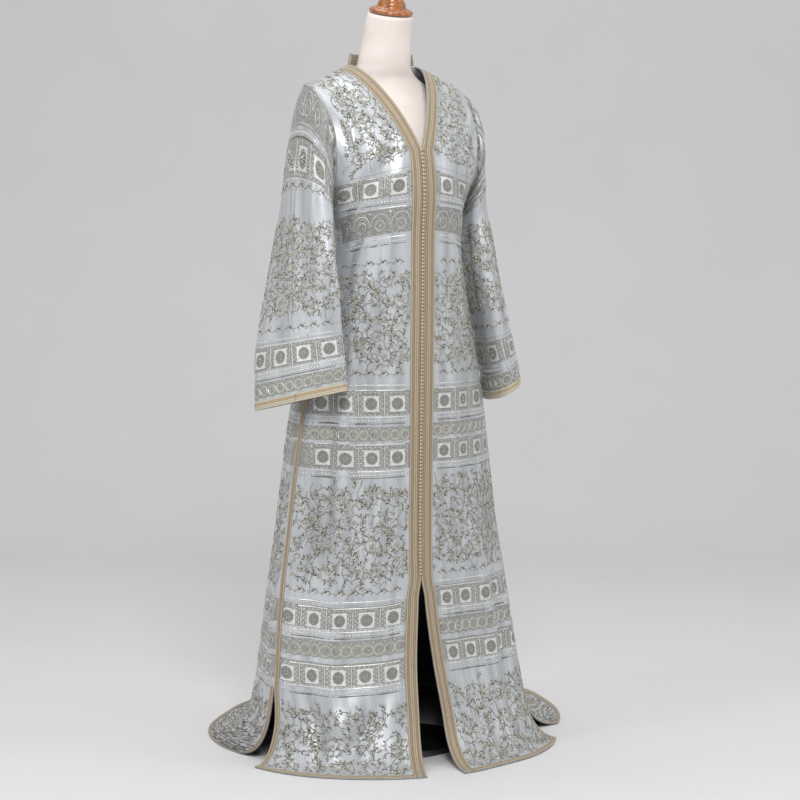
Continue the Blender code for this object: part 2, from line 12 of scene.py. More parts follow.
import bpy
import numpy as np
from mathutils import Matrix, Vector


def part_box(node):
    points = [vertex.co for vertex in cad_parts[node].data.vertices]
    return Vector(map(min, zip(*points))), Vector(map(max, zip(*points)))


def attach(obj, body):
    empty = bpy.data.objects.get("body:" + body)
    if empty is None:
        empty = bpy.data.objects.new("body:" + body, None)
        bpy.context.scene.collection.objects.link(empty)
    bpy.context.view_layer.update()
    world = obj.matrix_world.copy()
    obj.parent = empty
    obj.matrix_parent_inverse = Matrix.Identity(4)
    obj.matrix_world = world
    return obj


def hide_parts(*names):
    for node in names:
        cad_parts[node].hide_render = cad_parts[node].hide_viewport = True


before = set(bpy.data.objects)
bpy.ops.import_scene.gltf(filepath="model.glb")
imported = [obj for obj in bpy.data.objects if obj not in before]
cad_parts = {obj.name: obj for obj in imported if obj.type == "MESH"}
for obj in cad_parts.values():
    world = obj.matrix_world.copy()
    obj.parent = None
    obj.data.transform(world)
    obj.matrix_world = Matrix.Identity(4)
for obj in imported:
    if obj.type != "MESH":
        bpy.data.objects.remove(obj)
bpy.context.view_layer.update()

logging.basicConfig(level=logging.INFO, format="%(message)s")
log = logging.getLogger("kaftan")

Array = np.ndarray

# Cloth and trimming, as the solids have them
CLOTH = 0.002
SEAM_GAP = 0.0003
FRONT_BRAID_WIDTH = 0.028
SIDE_BRAID_WIDTH = 0.014
HEM_BRAID_WIDTH = 0.017
FLOOR_CLOTH = 0.0014
FLARE_TOP = 0.10
FLARE_PULL = 0.25
SIDE_SLIT_TOP = 0.16
FRONT_SLIT_TOP = 0.387
UNDERARM = 1.19
NECK_SIDE_HEIGHT = 1.475
SHOULDER_SLOPE = 0.41
NECK_HALF_WIDTH = 0.078
SHOULDER_Y = 0.06
BACK_NECK_DEPTH = 0.062
V_BOTTOM = 0.32
CHEST_ROUNDNESS = 0.56
CHEST_SPREAD = 1.2
CHEST_EASE = 0.35
BLADE_BULGE = 0.035
SEAM_ANGLE = 82.0
SLIT_SPREAD = 3.0
COLLAR_HEIGHT = 0.024
COLLAR_LEAN = 0.004
COLLAR_HALF_WIDTH = 0.0762
CAP_TILT = 14.0
CAP_Y = 0.020
CAP_HEIGHT = 1.584
POLE_Y = 0.02
FOLD_FADE = 0.45
SLIT_EASE = 0.035        # height over which the front slit opens from nothing
INNER_SHADE_FADE = 1.2        # above this the painted shade on the cloth's inner side thins out, as light comes in at the neck
SIDE_BRAID_TOP = 0.87
CUFF_BRAID_WIDTH = 0.018
BUTTON_TOP = 1.285
BUTTON_PITCH = 0.0075

DENSE = 90               # points on a curve before it is evened out
FLARE_STEPS = 34         # rows between the skirt and its hem
ROW_STEP = 0.008         # height of a row of the skirt
CHEST_STEPS = 40
FRONT_COLUMNS = 52
BACK_COLUMNS = 110
SLEEVE_COLUMNS = 96
SLEEVE_STEP = 0.008
SLEEVE_HEAD = 1.40       # pattern height of the armhole


class Section(NamedTuple):
    """A level section of the body."""

    height: float
    half_width: float
    front_y: float
    side_y: float
    back_y: float
    slit: float


class Hem(NamedTuple):
    """Reach of the hem on the floor at an angle round from the centre front."""

    angle: float
    reach: float


class Fold(NamedTuple):
    """A soft upright fold of the skirt."""

    angle: float
    depth: float
    spread: float
    top: float


class Armhole(NamedTuple):
    """Reach of each armhole from the middle, at a share of the way up from the underarm."""

    share: float
    right: float
    left: float


class Cuff(NamedTuple):
    """A ring of a sleeve."""

    height: float
    x: float
    y: float
    out: float
    rise: float
    half_width: float
    turn: float
    lift: float


class Girth(NamedTuple):
    """A ring of the dress form."""

    height: float
    half_width: float
    front_y: float
    back_y: float
    tilt: float


class Cut(NamedTuple):
    """Flat cut of a panel: widest along the weft, length along the warp, and area."""

    width: float
    length: float
    area: float


class Turning(NamedTuple):
    """A point of the turned cap's profile."""

    radius: float
    height: float


SECTIONS = tuple(Section(*row) for row in (
    (0.10, 0.306, -0.168, -0.005, 0.360, 0.028), (0.20, 0.294, -0.142, 0.008, 0.315, 0.020),
    (0.321, 0.280, -0.126, 0.022, 0.278, 0.009), (0.474, 0.256, -0.119, 0.033, 0.250, 0.0),
    (0.618, 0.237, -0.121, 0.034, 0.235, 0.0), (0.747, 0.218, -0.124, 0.030, 0.218, 0.0),
    (0.870, 0.190, -0.127, 0.020, 0.178, 0.0), (1.000, 0.158, -0.130, 0.005, 0.128, 0.0),
    (1.130, 0.141, -0.132, -0.006, 0.092, 0.0), (1.190, 0.160, -0.138, 0.020, 0.106, 0.0),
))
FRONT_HEM = {
    "right": (Hem(13.9, 0.296), Hem(40.0, 0.313), Hem(62.0, 0.338), Hem(82.5, 0.358)),
    "left": (Hem(2.5, 0.294), Hem(25.0, 0.293), Hem(45.0, 0.318), Hem(73.0, 0.362)),
}
BACK_HEM = tuple(Hem(*row) for row in (
    (104.4, 0.347), (120.0, 0.395), (137.4, 0.448), (155.0, 0.500), (170.0, 0.563), (190.0, 0.600),
    (214.0, 0.640), (236.4, 0.651), (243.5, 0.593), (257.5, 0.494), (268.2, 0.423),
))
FOLDS = tuple(Fold(*row) for row in (
    (30.0, 0.008, 9.0, 0.75), (56.0, 0.018, 9.0, 0.95), (104.0, 0.012, 9.0, 0.90),
    (129.0, 0.016, 8.0, 1.00), (153.0, 0.020, 8.0, 1.05), (180.0, 0.014, 8.0, 1.00),
    (208.0, 0.020, 8.0, 1.05), (233.0, 0.016, 8.0, 1.00), (258.0, 0.012, 9.0, 0.90),
    (306.0, 0.014, 9.0, 0.90), (334.0, 0.008, 8.0, 0.70),
))
ARMHOLE = tuple(Armhole(*row) for row in (
    (0.0, 0.158, 0.158), (0.05, 0.161, 0.159), (0.15, 0.166, 0.162), (0.32, 0.169, 0.162),
    (0.50, 0.170, 0.161), (0.69, 0.173, 0.161), (0.85, 0.179, 0.164), (0.96, 0.185, 0.168),
    (1.0, 0.188, 0.170),
))
SLEEVE_ROWS = {
    "right": (
        Cuff(1.300, 0.1830, 0.027, 0.0160, 0.105, 0.091, 0.0, 0.000),
        Cuff(1.268, 0.1895, 0.025, 0.0220, 0.080, 0.091, 2.0, 0.000),
        Cuff(1.222, 0.1965, 0.022, 0.0270, 0.047, 0.088, 4.0, 0.000),
        Cuff(1.165, 0.2030, 0.014, 0.0310, 0.018, 0.090, 8.0, 0.002),
        Cuff(1.100, 0.2110, 0.008, 0.0330, 0.000, 0.094, 13.0, 0.005),
        Cuff(1.000, 0.2220, -0.004, 0.0310, 0.000, 0.100, 22.0, 0.010),
        Cuff(0.890, 0.2360, -0.018, 0.0280, 0.000, 0.105, 32.0, 0.018),
        Cuff(0.786, 0.2405, -0.036, 0.0265, 0.000, 0.107, 38.0, 0.025),
        Cuff(0.768, 0.2405, -0.038, 0.0265, 0.000, 0.1065, 38.5, 0.025),
    ),
    "left": (
        Cuff(1.2685, 0.1800, 0.024, 0.0155, 0.0915, 0.094, 0.0, 0.000),
        Cuff(1.2375, 0.1840, 0.024, 0.0190, 0.0725, 0.094, 4.0, 0.000),
        Cuff(1.205, 0.1885, 0.024, 0.0225, 0.047, 0.093, 8.0, 0.000),
        Cuff(1.165, 0.1950, 0.024, 0.0250, 0.018, 0.089, 12.5, 0.000),
        Cuff(1.100, 0.2030, 0.016, 0.0300, 0.002, 0.093, 16.0, 0.000),
        Cuff(1.000, 0.2150, 0.006, 0.0330, 0.006, 0.098, 17.0, 0.000),
        Cuff(0.890, 0.2380, -0.002, 0.0350, 0.012, 0.102, 18.0, 0.000),
        Cuff(0.790, 0.2565, -0.008, 0.0360, 0.020, 0.105, 18.0, 0.000),
        Cuff(0.772, 0.2575, -0.009, 0.0360, 0.020, 0.1055, 18.0, 0.000),
    ),
}
TORSO = tuple(Girth(*row) for row in (
    (0.800, 0.170, -0.104, 0.118, 0), (0.870, 0.168, -0.108, 0.124, 0), (0.950, 0.155, -0.108, 0.112, 0),
    (1.040, 0.136, -0.112, 0.088, 0), (1.130, 0.122, -0.112, 0.074, 0), (1.190, 0.136, -0.120, 0.080, 0),
    (1.250, 0.141, -0.116, 0.088, 0), (1.310, 0.138, -0.092, 0.098, 0), (1.370, 0.139, -0.048, 0.104, 0),
    (1.405, 0.130, -0.014, 0.096, 0), (1.430, 0.108, 0.008, 0.090, 0), (1.448, 0.080, 0.012, 0.098, 0),
    (1.465, 0.064, 0.004, 0.106, 2), (1.495, 0.0570, -0.004, 0.101, 6), (1.535, 0.0515, -0.012, 0.087, 11),
    (1.565, 0.0500, -0.020, 0.076, 14), (1.5827, 0.0480, -0.028, 0.068, 14),
))
CUTS = {
    "right": Cut(0.42, 1.56, 0.47), "left": Cut(0.42, 1.56, 0.47), "back": Cut(1.15, 1.62, 1.30),
    "sleeve_right": Cut(0.46, 0.66, 0.29), "sleeve_left": Cut(0.46, 0.66, 0.29),
}
CAP_PROFILE = tuple(Turning(*row) for row in (
    (0.045, 0.0), (0.048, 0.003), (0.048, 0.007), (0.044, 0.011), (0.030, 0.014), (0.031, 0.020),
    (0.029, 0.026), (0.023, 0.030), (0.024, 0.038), (0.020, 0.045), (0.013, 0.050), (0.015, 0.057),
    (0.019, 0.066), (0.017, 0.076), (0.010, 0.084),
))


class Crease(NamedTuple):
    """A soft trough (negative depth) or ridge between two places on the cloth.

    Shares are of the distance along the row; heights are the pattern's.
    """

    first_share: float
    first_height: float
    last_share: float
    last_height: float
    width: float
    depth: float


CREASES = {
    "right": (
        (0.8, 1.42, 0.78, 1.2, 0.016, -0.013), (0.3, 1.3, 0.95, 1.13, 0.016, -0.0085),
        (0.26, 1.25, 0.92, 1.09, 0.013, 0.006), (0.45, 1.22, 0.98, 1.03, 0.014, -0.008),
        (0.18, 1.1, 0.26, 0.99, 0.007, -0.0014), (0.38, 1.11, 0.42, 0.96, 0.008, 0.0016),
        (0.55, 1.12, 0.58, 0.93, 0.009, -0.0022), (0.7, 1.1, 0.7, 0.86, 0.01, 0.0026),
        (0.84, 1.07, 0.83, 0.84, 0.011, -0.003), (0.5, 0.95, 0.47, 0.6, 0.018, -0.0065),
        (0.62, 0.84, 0.56, 0.47, 0.02, 0.0065), (0.78, 0.92, 0.74, 0.42, 0.022, -0.0085),
        (0.9, 0.8, 0.88, 0.3, 0.016, 0.005), (0.3, 0.6, 0.36, 0.22, 0.018, 0.003),
        (0.17, 0.45, 0.15, 0.12, 0.014, -0.003), (0.56, 0.42, 0.48, 0.06, 0.022, -0.0085),
        (0.74, 0.36, 0.7, 0.03, 0.022, 0.008), (0.8, 0.16, 0.6, 0.0, 0.02, -0.015),
        (0.22, 0.15, 0.54, -0.01, 0.018, -0.0125), (0.48, 0.12, 0.56, 0.05, 0.026, 0.011),
        (0.86, 0.3, 0.84, 0.02, 0.016, -0.004),
    ),
    "left": (
        (0.3, 1.29, 0.92, 1.14, 0.014, -0.0036), (0.25, 1.22, 0.96, 1.08, 0.012, 0.003),
        (0.42, 1.16, 0.96, 1.0, 0.013, -0.0038), (0.2, 1.11, 0.22, 0.98, 0.008, 0.0018),
        (0.34, 1.12, 0.38, 0.94, 0.009, -0.0022), (0.52, 1.1, 0.56, 0.9, 0.01, 0.0024),
        (0.7, 1.06, 0.68, 0.84, 0.011, -0.003), (0.34, 0.9, 0.32, 0.56, 0.015, 0.0034),
        (0.52, 0.88, 0.46, 0.44, 0.018, -0.0048), (0.72, 0.86, 0.68, 0.4, 0.017, 0.0044),
        (0.88, 0.8, 0.86, 0.34, 0.015, -0.004), (0.26, 0.48, 0.28, 0.16, 0.016, -0.003),
        (0.56, 0.4, 0.6, 0.08, 0.02, 0.005), (0.4, 0.3, 0.42, 0.05, 0.018, -0.004),
        (0.74, 0.24, 0.66, 0.02, 0.016, -0.01), (0.58, 0.05, 0.84, 0.03, 0.016, 0.012),
        (0.84, 0.34, 0.88, 0.08, 0.017, 0.005),
    ),
    "back": (
        (0.12, 1.34, 0.3, 1.18, 0.016, -0.004), (0.88, 1.33, 0.7, 1.16, 0.016, -0.004),
        (0.06, 1.24, 0.34, 1.08, 0.014, 0.0034), (0.95, 1.22, 0.64, 1.06, 0.014, 0.0034),
        (0.2, 1.15, 0.4, 0.99, 0.013, -0.0036), (0.81, 1.14, 0.6, 1.01, 0.012, -0.003),
        (0.46, 1.1, 0.45, 0.8, 0.014, 0.0036), (0.55, 1.08, 0.57, 0.74, 0.013, -0.0034),
        (0.13, 1.02, 0.1, 0.56, 0.017, -0.005), (0.22, 0.94, 0.2, 0.3, 0.02, 0.006),
        (0.31, 0.86, 0.3, 0.18, 0.018, -0.0055), (0.41, 0.74, 0.4, 0.1, 0.021, 0.006),
        (0.5, 0.8, 0.51, 0.2, 0.018, -0.005), (0.59, 0.7, 0.61, 0.06, 0.021, 0.0058),
        (0.69, 0.9, 0.71, 0.24, 0.018, -0.006), (0.79, 0.82, 0.81, 0.12, 0.02, 0.0058),
        (0.88, 1.0, 0.91, 0.46, 0.016, -0.0046), (0.3, 0.1, 0.48, -0.08, 0.022, 0.01),
        (0.62, 0.06, 0.78, -0.1, 0.022, 0.011), (0.12, 0.16, 0.16, -0.02, 0.02, 0.008),
        (0.9, 0.18, 0.88, -0.04, 0.02, 0.008),
    ),
    "sleeve_right": (
        (0.2, 1.37, 0.27, 1.02, 0.013, -0.0048), (0.13, 1.34, 0.17, 0.92, 0.016, 0.0042),
        (0.32, 1.33, 0.36, 1.1, 0.012, 0.004), (0.06, 1.2, 0.09, 0.84, 0.016, -0.0034),
        (0.24, 1.08, 0.22, 0.83, 0.015, 0.0032), (0.36, 1.05, 0.33, 0.83, 0.014, -0.0036),
        (0.45, 1.2, 0.46, 0.86, 0.015, 0.003), (0.6, 1.3, 0.63, 0.96, 0.016, -0.004),
        (0.72, 1.33, 0.76, 0.86, 0.017, 0.004), (0.86, 1.3, 0.88, 0.9, 0.015, -0.0036),
    ),
    "sleeve_left": (
        (0.18, 1.36, 0.24, 1.0, 0.014, -0.0046), (0.28, 1.34, 0.33, 1.02, 0.012, 0.0044),
        (0.1, 1.3, 0.14, 0.86, 0.015, 0.004), (0.37, 1.24, 0.38, 0.84, 0.013, -0.0044),
        (0.23, 1.02, 0.27, 0.82, 0.014, 0.0036), (0.04, 1.2, 0.05, 0.84, 0.016, -0.0032),
        (0.47, 1.18, 0.47, 0.86, 0.015, 0.0032), (0.62, 1.3, 0.6, 0.94, 0.016, -0.004),
        (0.75, 1.32, 0.73, 0.85, 0.017, 0.004), (0.88, 1.28, 0.86, 0.88, 0.015, -0.0036),
    ),
}


def through(places: Sequence[float], values: Sequence, where: Array) -> Array:
    """Read a smooth curve through values at rising places.

    Args:
        places: Rising places.
        values: The value at each place, a number or a ring of points.
        where: Where to read the curve.

    Returns:
        The values read.
    """
    at, known = np.asarray(places, float), np.asarray(values, float)
    where = np.clip(np.asarray(where, float), at[0], at[-1])
    slopes = np.gradient(known, at, axis=0)
    i = np.clip(np.searchsorted(at, where, side="right") - 1, 0, len(at) - 2)
    step = at[i + 1] - at[i]
    t = (where - at[i]) / step
    if known.ndim > 1:
        step, t = step[:, None, None], t[:, None, None]
    return (
        known[i] * (2 * t**3 - 3 * t**2 + 1) + slopes[i] * step * (t**3 - 2 * t**2 + t)
        + known[i + 1] * (3 * t**2 - 2 * t**3) + slopes[i + 1] * step * (t**3 - t**2)
    )


def column(rows: Iterable[NamedTuple], name: str) -> list[float]:
    """One named column of a table."""
    return [getattr(row, name) for row in rows]


def section_value(name: str, height: float) -> float:
    """A measure of the body's section at a height."""
    return float(through(column(SECTIONS, "height"), column(SECTIONS, name), height))


def smooth_step(share: Array) -> Array:
    """A soft rise from 0 to 1."""
    share = np.clip(share, 0.0, 1.0)
    return share * share * (3 - 2 * share)


def round_body(angles: Array, height: float) -> Array:
    """Points round the garment at a height, for angles from the centre front by the wearer's right."""
    turn = np.radians(angles)
    side_y = section_value("side_y", height)
    front = side_y - section_value("front_y", height)
    back = section_value("back_y", height) - side_y
    depth = np.where(np.cos(turn) > 0, front, back)
    inward = np.zeros(len(turn))
    for fold in FOLDS:
        grown = smooth_step((fold.top - height) / FOLD_FADE)
        inward += fold.depth * grown * np.exp(-((angles - fold.angle) / fold.spread) ** 2)
    return np.stack([
        -(section_value("half_width", height) - inward) * np.sin(turn),
        side_y - (depth - inward) * np.cos(turn),
        np.full(len(turn), height),
    ], axis=1)


def even(curve: Array, columns: int) -> Array:
    """The same curve as points at even distances along it."""
    walked = np.concatenate([[0.0], np.cumsum(np.linalg.norm(np.diff(curve, axis=0), axis=1))])
    where = np.linspace(0.0, walked[-1], columns + 1)
    return np.stack([np.interp(where, walked, curve[:, k]) for k in range(3)], axis=1)


def panel_angles(panel: str, height: float) -> tuple[float, float]:
    """First and last angle that a panel covers at a height."""
    seam = math.radians(SEAM_ANGLE)
    front_depth = section_value("side_y", height) - section_value("front_y", height)
    speed = math.hypot(section_value("half_width", height) * math.cos(seam), front_depth * math.sin(seam))
    gap_angle = math.degrees(SEAM_GAP / 2 / speed)
    eased = min(1.0, max(0.0, (FRONT_SLIT_TOP - height) / SLIT_EASE))
    opening = max(SEAM_GAP / 2, section_value("slit", height) * eased)
    start = math.degrees(math.asin(opening / section_value("half_width", height)))
    slit = SLIT_SPREAD * max(0.0, (SIDE_SLIT_TOP - height) / (SIDE_SLIT_TOP - FLARE_TOP))
    front_side = SEAM_ANGLE - gap_angle - slit
    if panel == "right":
        return start, front_side
    if panel == "left":
        return 360.0 - start, 360.0 - front_side
    back_side = SEAM_ANGLE + gap_angle + slit
    return back_side, 360.0 - back_side


def hem_curve(panel: str) -> Array:
    """Points of a panel's hem on the floor."""
    rows = BACK_HEM if panel == "back" else FRONT_HEM[panel]
    angles = np.linspace(rows[0].angle, rows[-1].angle, DENSE)
    reach = through(column(rows, "angle"), column(rows, "reach"), angles)
    turn = np.radians(angles)
    side = 1.0 if panel == "left" else -1.0
    return np.stack([side * reach * np.sin(turn), -reach * np.cos(turn), np.full(DENSE, FLOOR_CLOTH)], axis=1)


def neck_edge(share: float) -> float:
    """Half-width of the neckline at a share of the way from underarm to shoulder."""
    if share <= V_BOTTOM:
        return SEAM_GAP / 2
    return SEAM_GAP / 2 + NECK_HALF_WIDTH * ((share - V_BOTTOM) / (1 - V_BOTTOM)) ** 1.05


def chest_curve(panel: str, share: float) -> Array:
    """Points across a panel above the underarm, from its first edge to its last."""
    shares = column(ARMHOLE, "share")
    right = -float(through(shares, column(ARMHOLE, "right"), share))
    left = float(through(shares, column(ARMHOLE, "left"), share))
    if panel == "back":
        across = np.linspace(right, left, DENSE)
    elif panel == "right":
        across = np.linspace(-neck_edge(share), right, DENSE)
    else:
        across = np.linspace(neck_edge(share), left, DENSE)
    half = SECTIONS[-1].half_width * (1 + CHEST_SPREAD * share)
    roundness = (1 - (across / half) ** 2) ** (0.5 + CHEST_EASE * share)
    side_y = SECTIONS[-1].side_y
    shoulder_y = np.full(DENSE, SHOULDER_Y)
    top = NECK_SIDE_HEIGHT - SHOULDER_SLOPE * (np.abs(across) - NECK_HALF_WIDTH)
    if panel == "back":
        within = np.clip(1 - (across / NECK_HALF_WIDTH) ** 2, 0, 1)
        shoulder_y = SHOULDER_Y + SEAM_GAP + BACK_NECK_DEPTH * np.sqrt(within)
        top = np.minimum(top, NECK_SIDE_HEIGHT)
        full = side_y + (SECTIONS[-1].back_y - side_y) * roundness + BLADE_BULGE * math.sin(math.pi * share)
    else:
        full = side_y + (SECTIONS[-1].front_y - side_y) * roundness
    over = max(0.0, math.cos(share * math.pi / 2)) ** CHEST_ROUNDNESS
    y = shoulder_y + (full - shoulder_y) * over
    return np.stack([across, y, UNDERARM + (top - UNDERARM) * share], axis=1)


def rest_place() -> Array:
    """Where the tables' x = y = 0 lies in the frame, from the pole that stands there."""
    low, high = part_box("stand_pole")
    return np.array([(low[0] + high[0]) / 2, (low[1] + high[1]) / 2 - POLE_Y, 0.0])


@dataclass
class Surface:
    """A stretch of cloth as rows of points, with a place for every distance along and pattern height.

    Attributes:
        points: Rows by columns of points; a closed one repeats its first column at the end.
        heights: Pattern height of each row, rising.
        closed: Whether the rows close into rings.
        centred: Whether distances along a row count from its middle.
        outward: 1 or -1, the sense in which along x up points out of the cloth.
        sag: How far the skirt's bands hang in the middle of the panel.
        arch: How far the chest's bands fall from the first edge to the last.
        rise: How far the skirt's bands have been carried up with a panel that sweeps aside.
    """

    points: Array
    heights: Array
    closed: bool = False
    centred: bool = False
    outward: float = 1.0
    sag: float = 0.0
    arch: float = 0.0
    rise: float = 0.0
    normals: Array = field(init=False)
    lengths: Array = field(init=False)

    def __post_init__(self) -> None:
        """Work out the normals and the rows' lengths."""
        self.measure()

    def measure(self) -> None:
        """Normals by differences along rows and columns, and the length of each row."""
        up = np.gradient(self.points, axis=0)
        along = np.gradient(self.points, axis=1)
        if self.closed:
            around = self.points[:, 1] - self.points[:, -2]
            along[:, 0] = around
            along[:, -1] = around
        normals = np.cross(along, up) * self.outward
        self.normals = normals / np.maximum(np.linalg.norm(normals, axis=2, keepdims=True), 1e-12)
        self.lengths = np.linalg.norm(np.diff(self.points, axis=1), axis=2).sum(axis=1)

    def drop(self, share: Array, height: Array) -> Array:
        """How much lower a band lies on the cloth than at its label.

        Args:
            share: Place along the row, from 0 to 1.
            height: Pattern height.

        Returns:
            The drop at each place.
        """
        skirt = smooth_step((0.85 - height) / 0.55) * smooth_step((height + 0.02) / 0.14)
        chest = smooth_step((height - 0.98) / 0.14) * smooth_step((1.46 - height) / 0.12)
        hang = 4 * share * (1 - share)
        if self.centred:
            return self.sag * 0.5 * skirt * np.sin(share * 6 * math.pi)
        return self.sag * hang * skirt + self.arch * share**1.5 * chest - self.rise * skirt

    def length_at(self, height: Array) -> Array:
        """Length of the row at a pattern height."""
        return np.interp(height, self.heights, self.lengths)

    def at(self, along: Array, height: Array, lift: Array, woven: bool = True) -> Array:
        """Points on the cloth.

        Args:
            along: Distances along the row, from its first edge, or its middle if centred.
            height: Pattern heights.
            lift: Distances out from the middle of the cloth.
            woven: Whether the heights are the pattern's, and not the cloth's own levels.

        Returns:
            A point for each.
        """
        total = self.length_at(height)
        share = along / total + (0.5 if self.centred else 0.0)
        share = share % 1.0 if self.closed else np.clip(share, 0.0, 1.0)
        rows, columns = self.points.shape[:2]
        level = height - self.drop(share, height) if woven else height
        r = np.clip(np.interp(level, self.heights, np.arange(rows)), 0, rows - 1.001)
        c = np.clip(share * (columns - 1), 0, columns - 1.001)
        i, j = r.astype(int), c.astype(int)
        u, v = (r - i)[:, None], (c - j)[:, None]
        def blend(grid: Array) -> Array:
            """Read a grid between its four nearest points."""
            low = grid[i, j] * (1 - v) + grid[i, j + 1] * v
            high = grid[i + 1, j] * (1 - v) + grid[i + 1, j + 1] * v
            return low * (1 - u) + high * u
        return blend(self.points) + blend(self.normals) * lift[:, None]

    def crease(self, creases: Iterable[Crease]) -> None:
        """Press the creases into the cloth, fading out before its edges."""
        share = np.linspace(0.0, 1.0, self.points.shape[1])[None, :]
        along = share * self.lengths[:, None]
        height = np.broadcast_to(self.heights[:, None], along.shape)
        moved = np.zeros(along.shape)
        for line in creases:
            typical = float(self.length_at((line.first_height + line.last_height) / 2))
            dx = (line.last_share - line.first_share) * typical
            dy = line.last_height - line.first_height
            px = (share - line.first_share) * self.lengths[:, None]
            py = height - line.first_height
            reach = math.hypot(dx, dy)
            t = np.clip((px * dx + py * dy) / reach**2, 0, 1)
            off = np.hypot(px - t * dx, py - t * dy)
            fade = 0.35 + 0.65 * np.sin(np.pi * np.clip(t, 0.02, 0.98))
            moved += line.depth * fade * np.exp(-((off / line.width) ** 2))
        if not self.closed:
            edge = np.minimum(along, self.lengths[:, None] - along)
            moved *= smooth_step((edge - 0.010) / 0.045)
        moved *= smooth_step((self.heights[-1] - height) / 0.05)
        moved *= 0.25 + 0.75 * smooth_step((height - self.heights[0]) / 0.05)
        self.points = self.points + self.normals * moved[..., None]
        self.points[..., 2] = np.maximum(self.points[..., 2], FLOOR_CLOTH)
        self.measure()


def soften(points: Array, joins: Sequence[int], reach: int, passes: int) -> Array:
    """Smooth a grid along its columns near some rows, keeping the first and last rows."""
    rows = np.arange(len(points))
    near = np.zeros(len(points))
    for join in joins:
        near = np.maximum(near, np.clip(1.2 - np.abs(rows - join) / reach, 0, 1))
    near[0] = near[-1] = 0.0
    weight = near[:, None, None] * 0.5
    for _ in range(passes):
        mean = points.copy()
        mean[1:-1] = (points[:-2] + points[2:]) / 2
        points = points * (1 - weight) + mean * weight
    return points


def panel_surface(panel: str, columns: int) -> Surface:
    """The dense surface of a body panel, from its hem to its shoulder."""
    ends = even(hem_curve(panel), columns)
    start = even(round_body(np.linspace(*panel_angles(panel, FLARE_TOP), DENSE), FLARE_TOP), columns)
    control = start + FLARE_PULL * (ends - start)
    control[:, 2] = FLOOR_CLOTH
    rows = []
    for q in np.linspace(1.0, 0.0, FLARE_STEPS + 1)[:-1]:
        curve = start * (1 - q) ** 2 + control * 2 * q * (1 - q) + ends * q**2
        rows.append(even(curve, columns))
    heights = list(np.linspace(FLARE_TOP, UNDERARM, round((UNDERARM - FLARE_TOP) / ROW_STEP) + 1))
    for height in heights:
        rows.append(even(round_body(np.linspace(*panel_angles(panel, height), DENSE), height), columns))
    shares = np.linspace(0, 1, CHEST_STEPS + 1)[1:]
    for share in shares:
        rows.append(even(chest_curve(panel, share), columns))
    points = np.array(rows) + rest_place()
    points = soften(points, (FLARE_STEPS, FLARE_STEPS + len(heights) - 1), 7, 14)
    steps = np.linalg.norm(np.diff(points[:FLARE_STEPS + 1], axis=0), axis=2).mean(axis=1)
    flare = FLARE_TOP - np.cumsum(steps[::-1])[::-1]
    chest = UNDERARM + shares * (NECK_SIDE_HEIGHT - UNDERARM)
    hang = {"right": (0.014, 0.030, 0.0), "left": (0.004, 0.026, 0.026), "back": (0.010, 0.0, 0.0)}[panel]
    return Surface(points, np.concatenate([flare, heights, chest]), centred=panel == "back",
                   outward=1.0 if panel == "left" else -1.0, sag=hang[0], arch=hang[1], rise=hang[2])


def sleeve_surface(side: str) -> Surface:
    """The dense surface of a sleeve, from its cuff to the armhole, as rings from its outer line."""
    sign = -1.0 if side == "right" else 1.0
    around = np.linspace(0, 2 * math.pi, SLEEVE_COLUMNS + 1)
    armhole = []
    for angle in around[:-1]:
        share = (1 + math.cos(angle)) / 2
        curve = chest_curve(side if angle <= math.pi else "back", share)
        point = curve[-1].copy()
        point[0] = abs(point[0]) * sign
        armhole.append(point)
    rings = [np.array(armhole + armhole[:1])]
    rings[0][:, 0] += sign * SEAM_GAP
    places = [-SLEEVE_HEAD]
    for row in SLEEVE_ROWS[side]:
        turn = math.radians(row.turn)
        c, s = math.cos(turn), math.sin(turn)
        outward = np.array([sign * row.out * c, -row.out * s, row.rise])
        forward = np.array([-sign * row.half_width * s, -row.half_width * c, row.lift])
        centre = np.array([sign * row.x, row.y, row.height])
        rings.append(centre + np.outer(np.cos(around), outward) + np.outer(np.sin(around), forward))
        places.append(-row.height)
    where = np.linspace(places[-1], places[0], round((places[-1] - places[0]) / SLEEVE_STEP) + 1)
    points = through(places, rings, where)
    rows = np.array([even(row, SLEEVE_COLUMNS) for row in points]) + rest_place()
    rows[:, -1] = rows[:, 0]
    return Surface(rows, -where, closed=True, outward=-sign)


def join_mesh(name: str, verts: Array, faces: Array | list, material: bpy.types.Material,
              attributes: Optional[dict[str, Array]] = None, flat: bool = False) -> bpy.types.Object:
    """A new object from arrays.

    Args:
        name: The piece's name.
        verts: Its points.
        faces: Corner numbers of each face.
        material: Its finish.
        attributes: Values for each point, by name; one named "cloth" is the piece's UV map.
        flat: Whether its faces are shaded flat.

    Returns:
        The object, at the origin.
    """
    mesh = bpy.data.meshes.new(name)
    mesh.from_pydata(verts.tolist(), [], faces if isinstance(faces, list) else faces.tolist())
    for label, values in (attributes or {}).items():
        if label == "cloth":
            layer = mesh.uv_layers.new(name=label)
            corner = np.empty(len(mesh.loops), dtype=np.int32)
            mesh.loops.foreach_get("vertex_index", corner)
            layer.data.foreach_set("uv", values[corner].astype(np.float32).ravel())
        else:
            layer = mesh.attributes.new(name=label, type="FLOAT", domain="POINT")
            layer.data.foreach_set("value", values.astype(np.float32))
    mesh.materials.append(material)
    mesh.polygons.foreach_set("use_smooth", [not flat] * len(mesh.polygons))
    mesh.update()
    piece = bpy.data.objects.new(name, mesh)
    bpy.context.scene.collection.objects.link(piece)
    return piece


def grid_faces(rows: int, columns: int, offset: int = 0) -> Array:
    """Four-cornered faces of a grid of rows by columns of points."""
    i, j = np.meshgrid(np.arange(rows - 1), np.arange(columns - 1), indexing="ij")
    first = (i * columns + j).ravel() + offset
    return np.stack([first, first + 1, first + columns + 1, first + columns], axis=1)


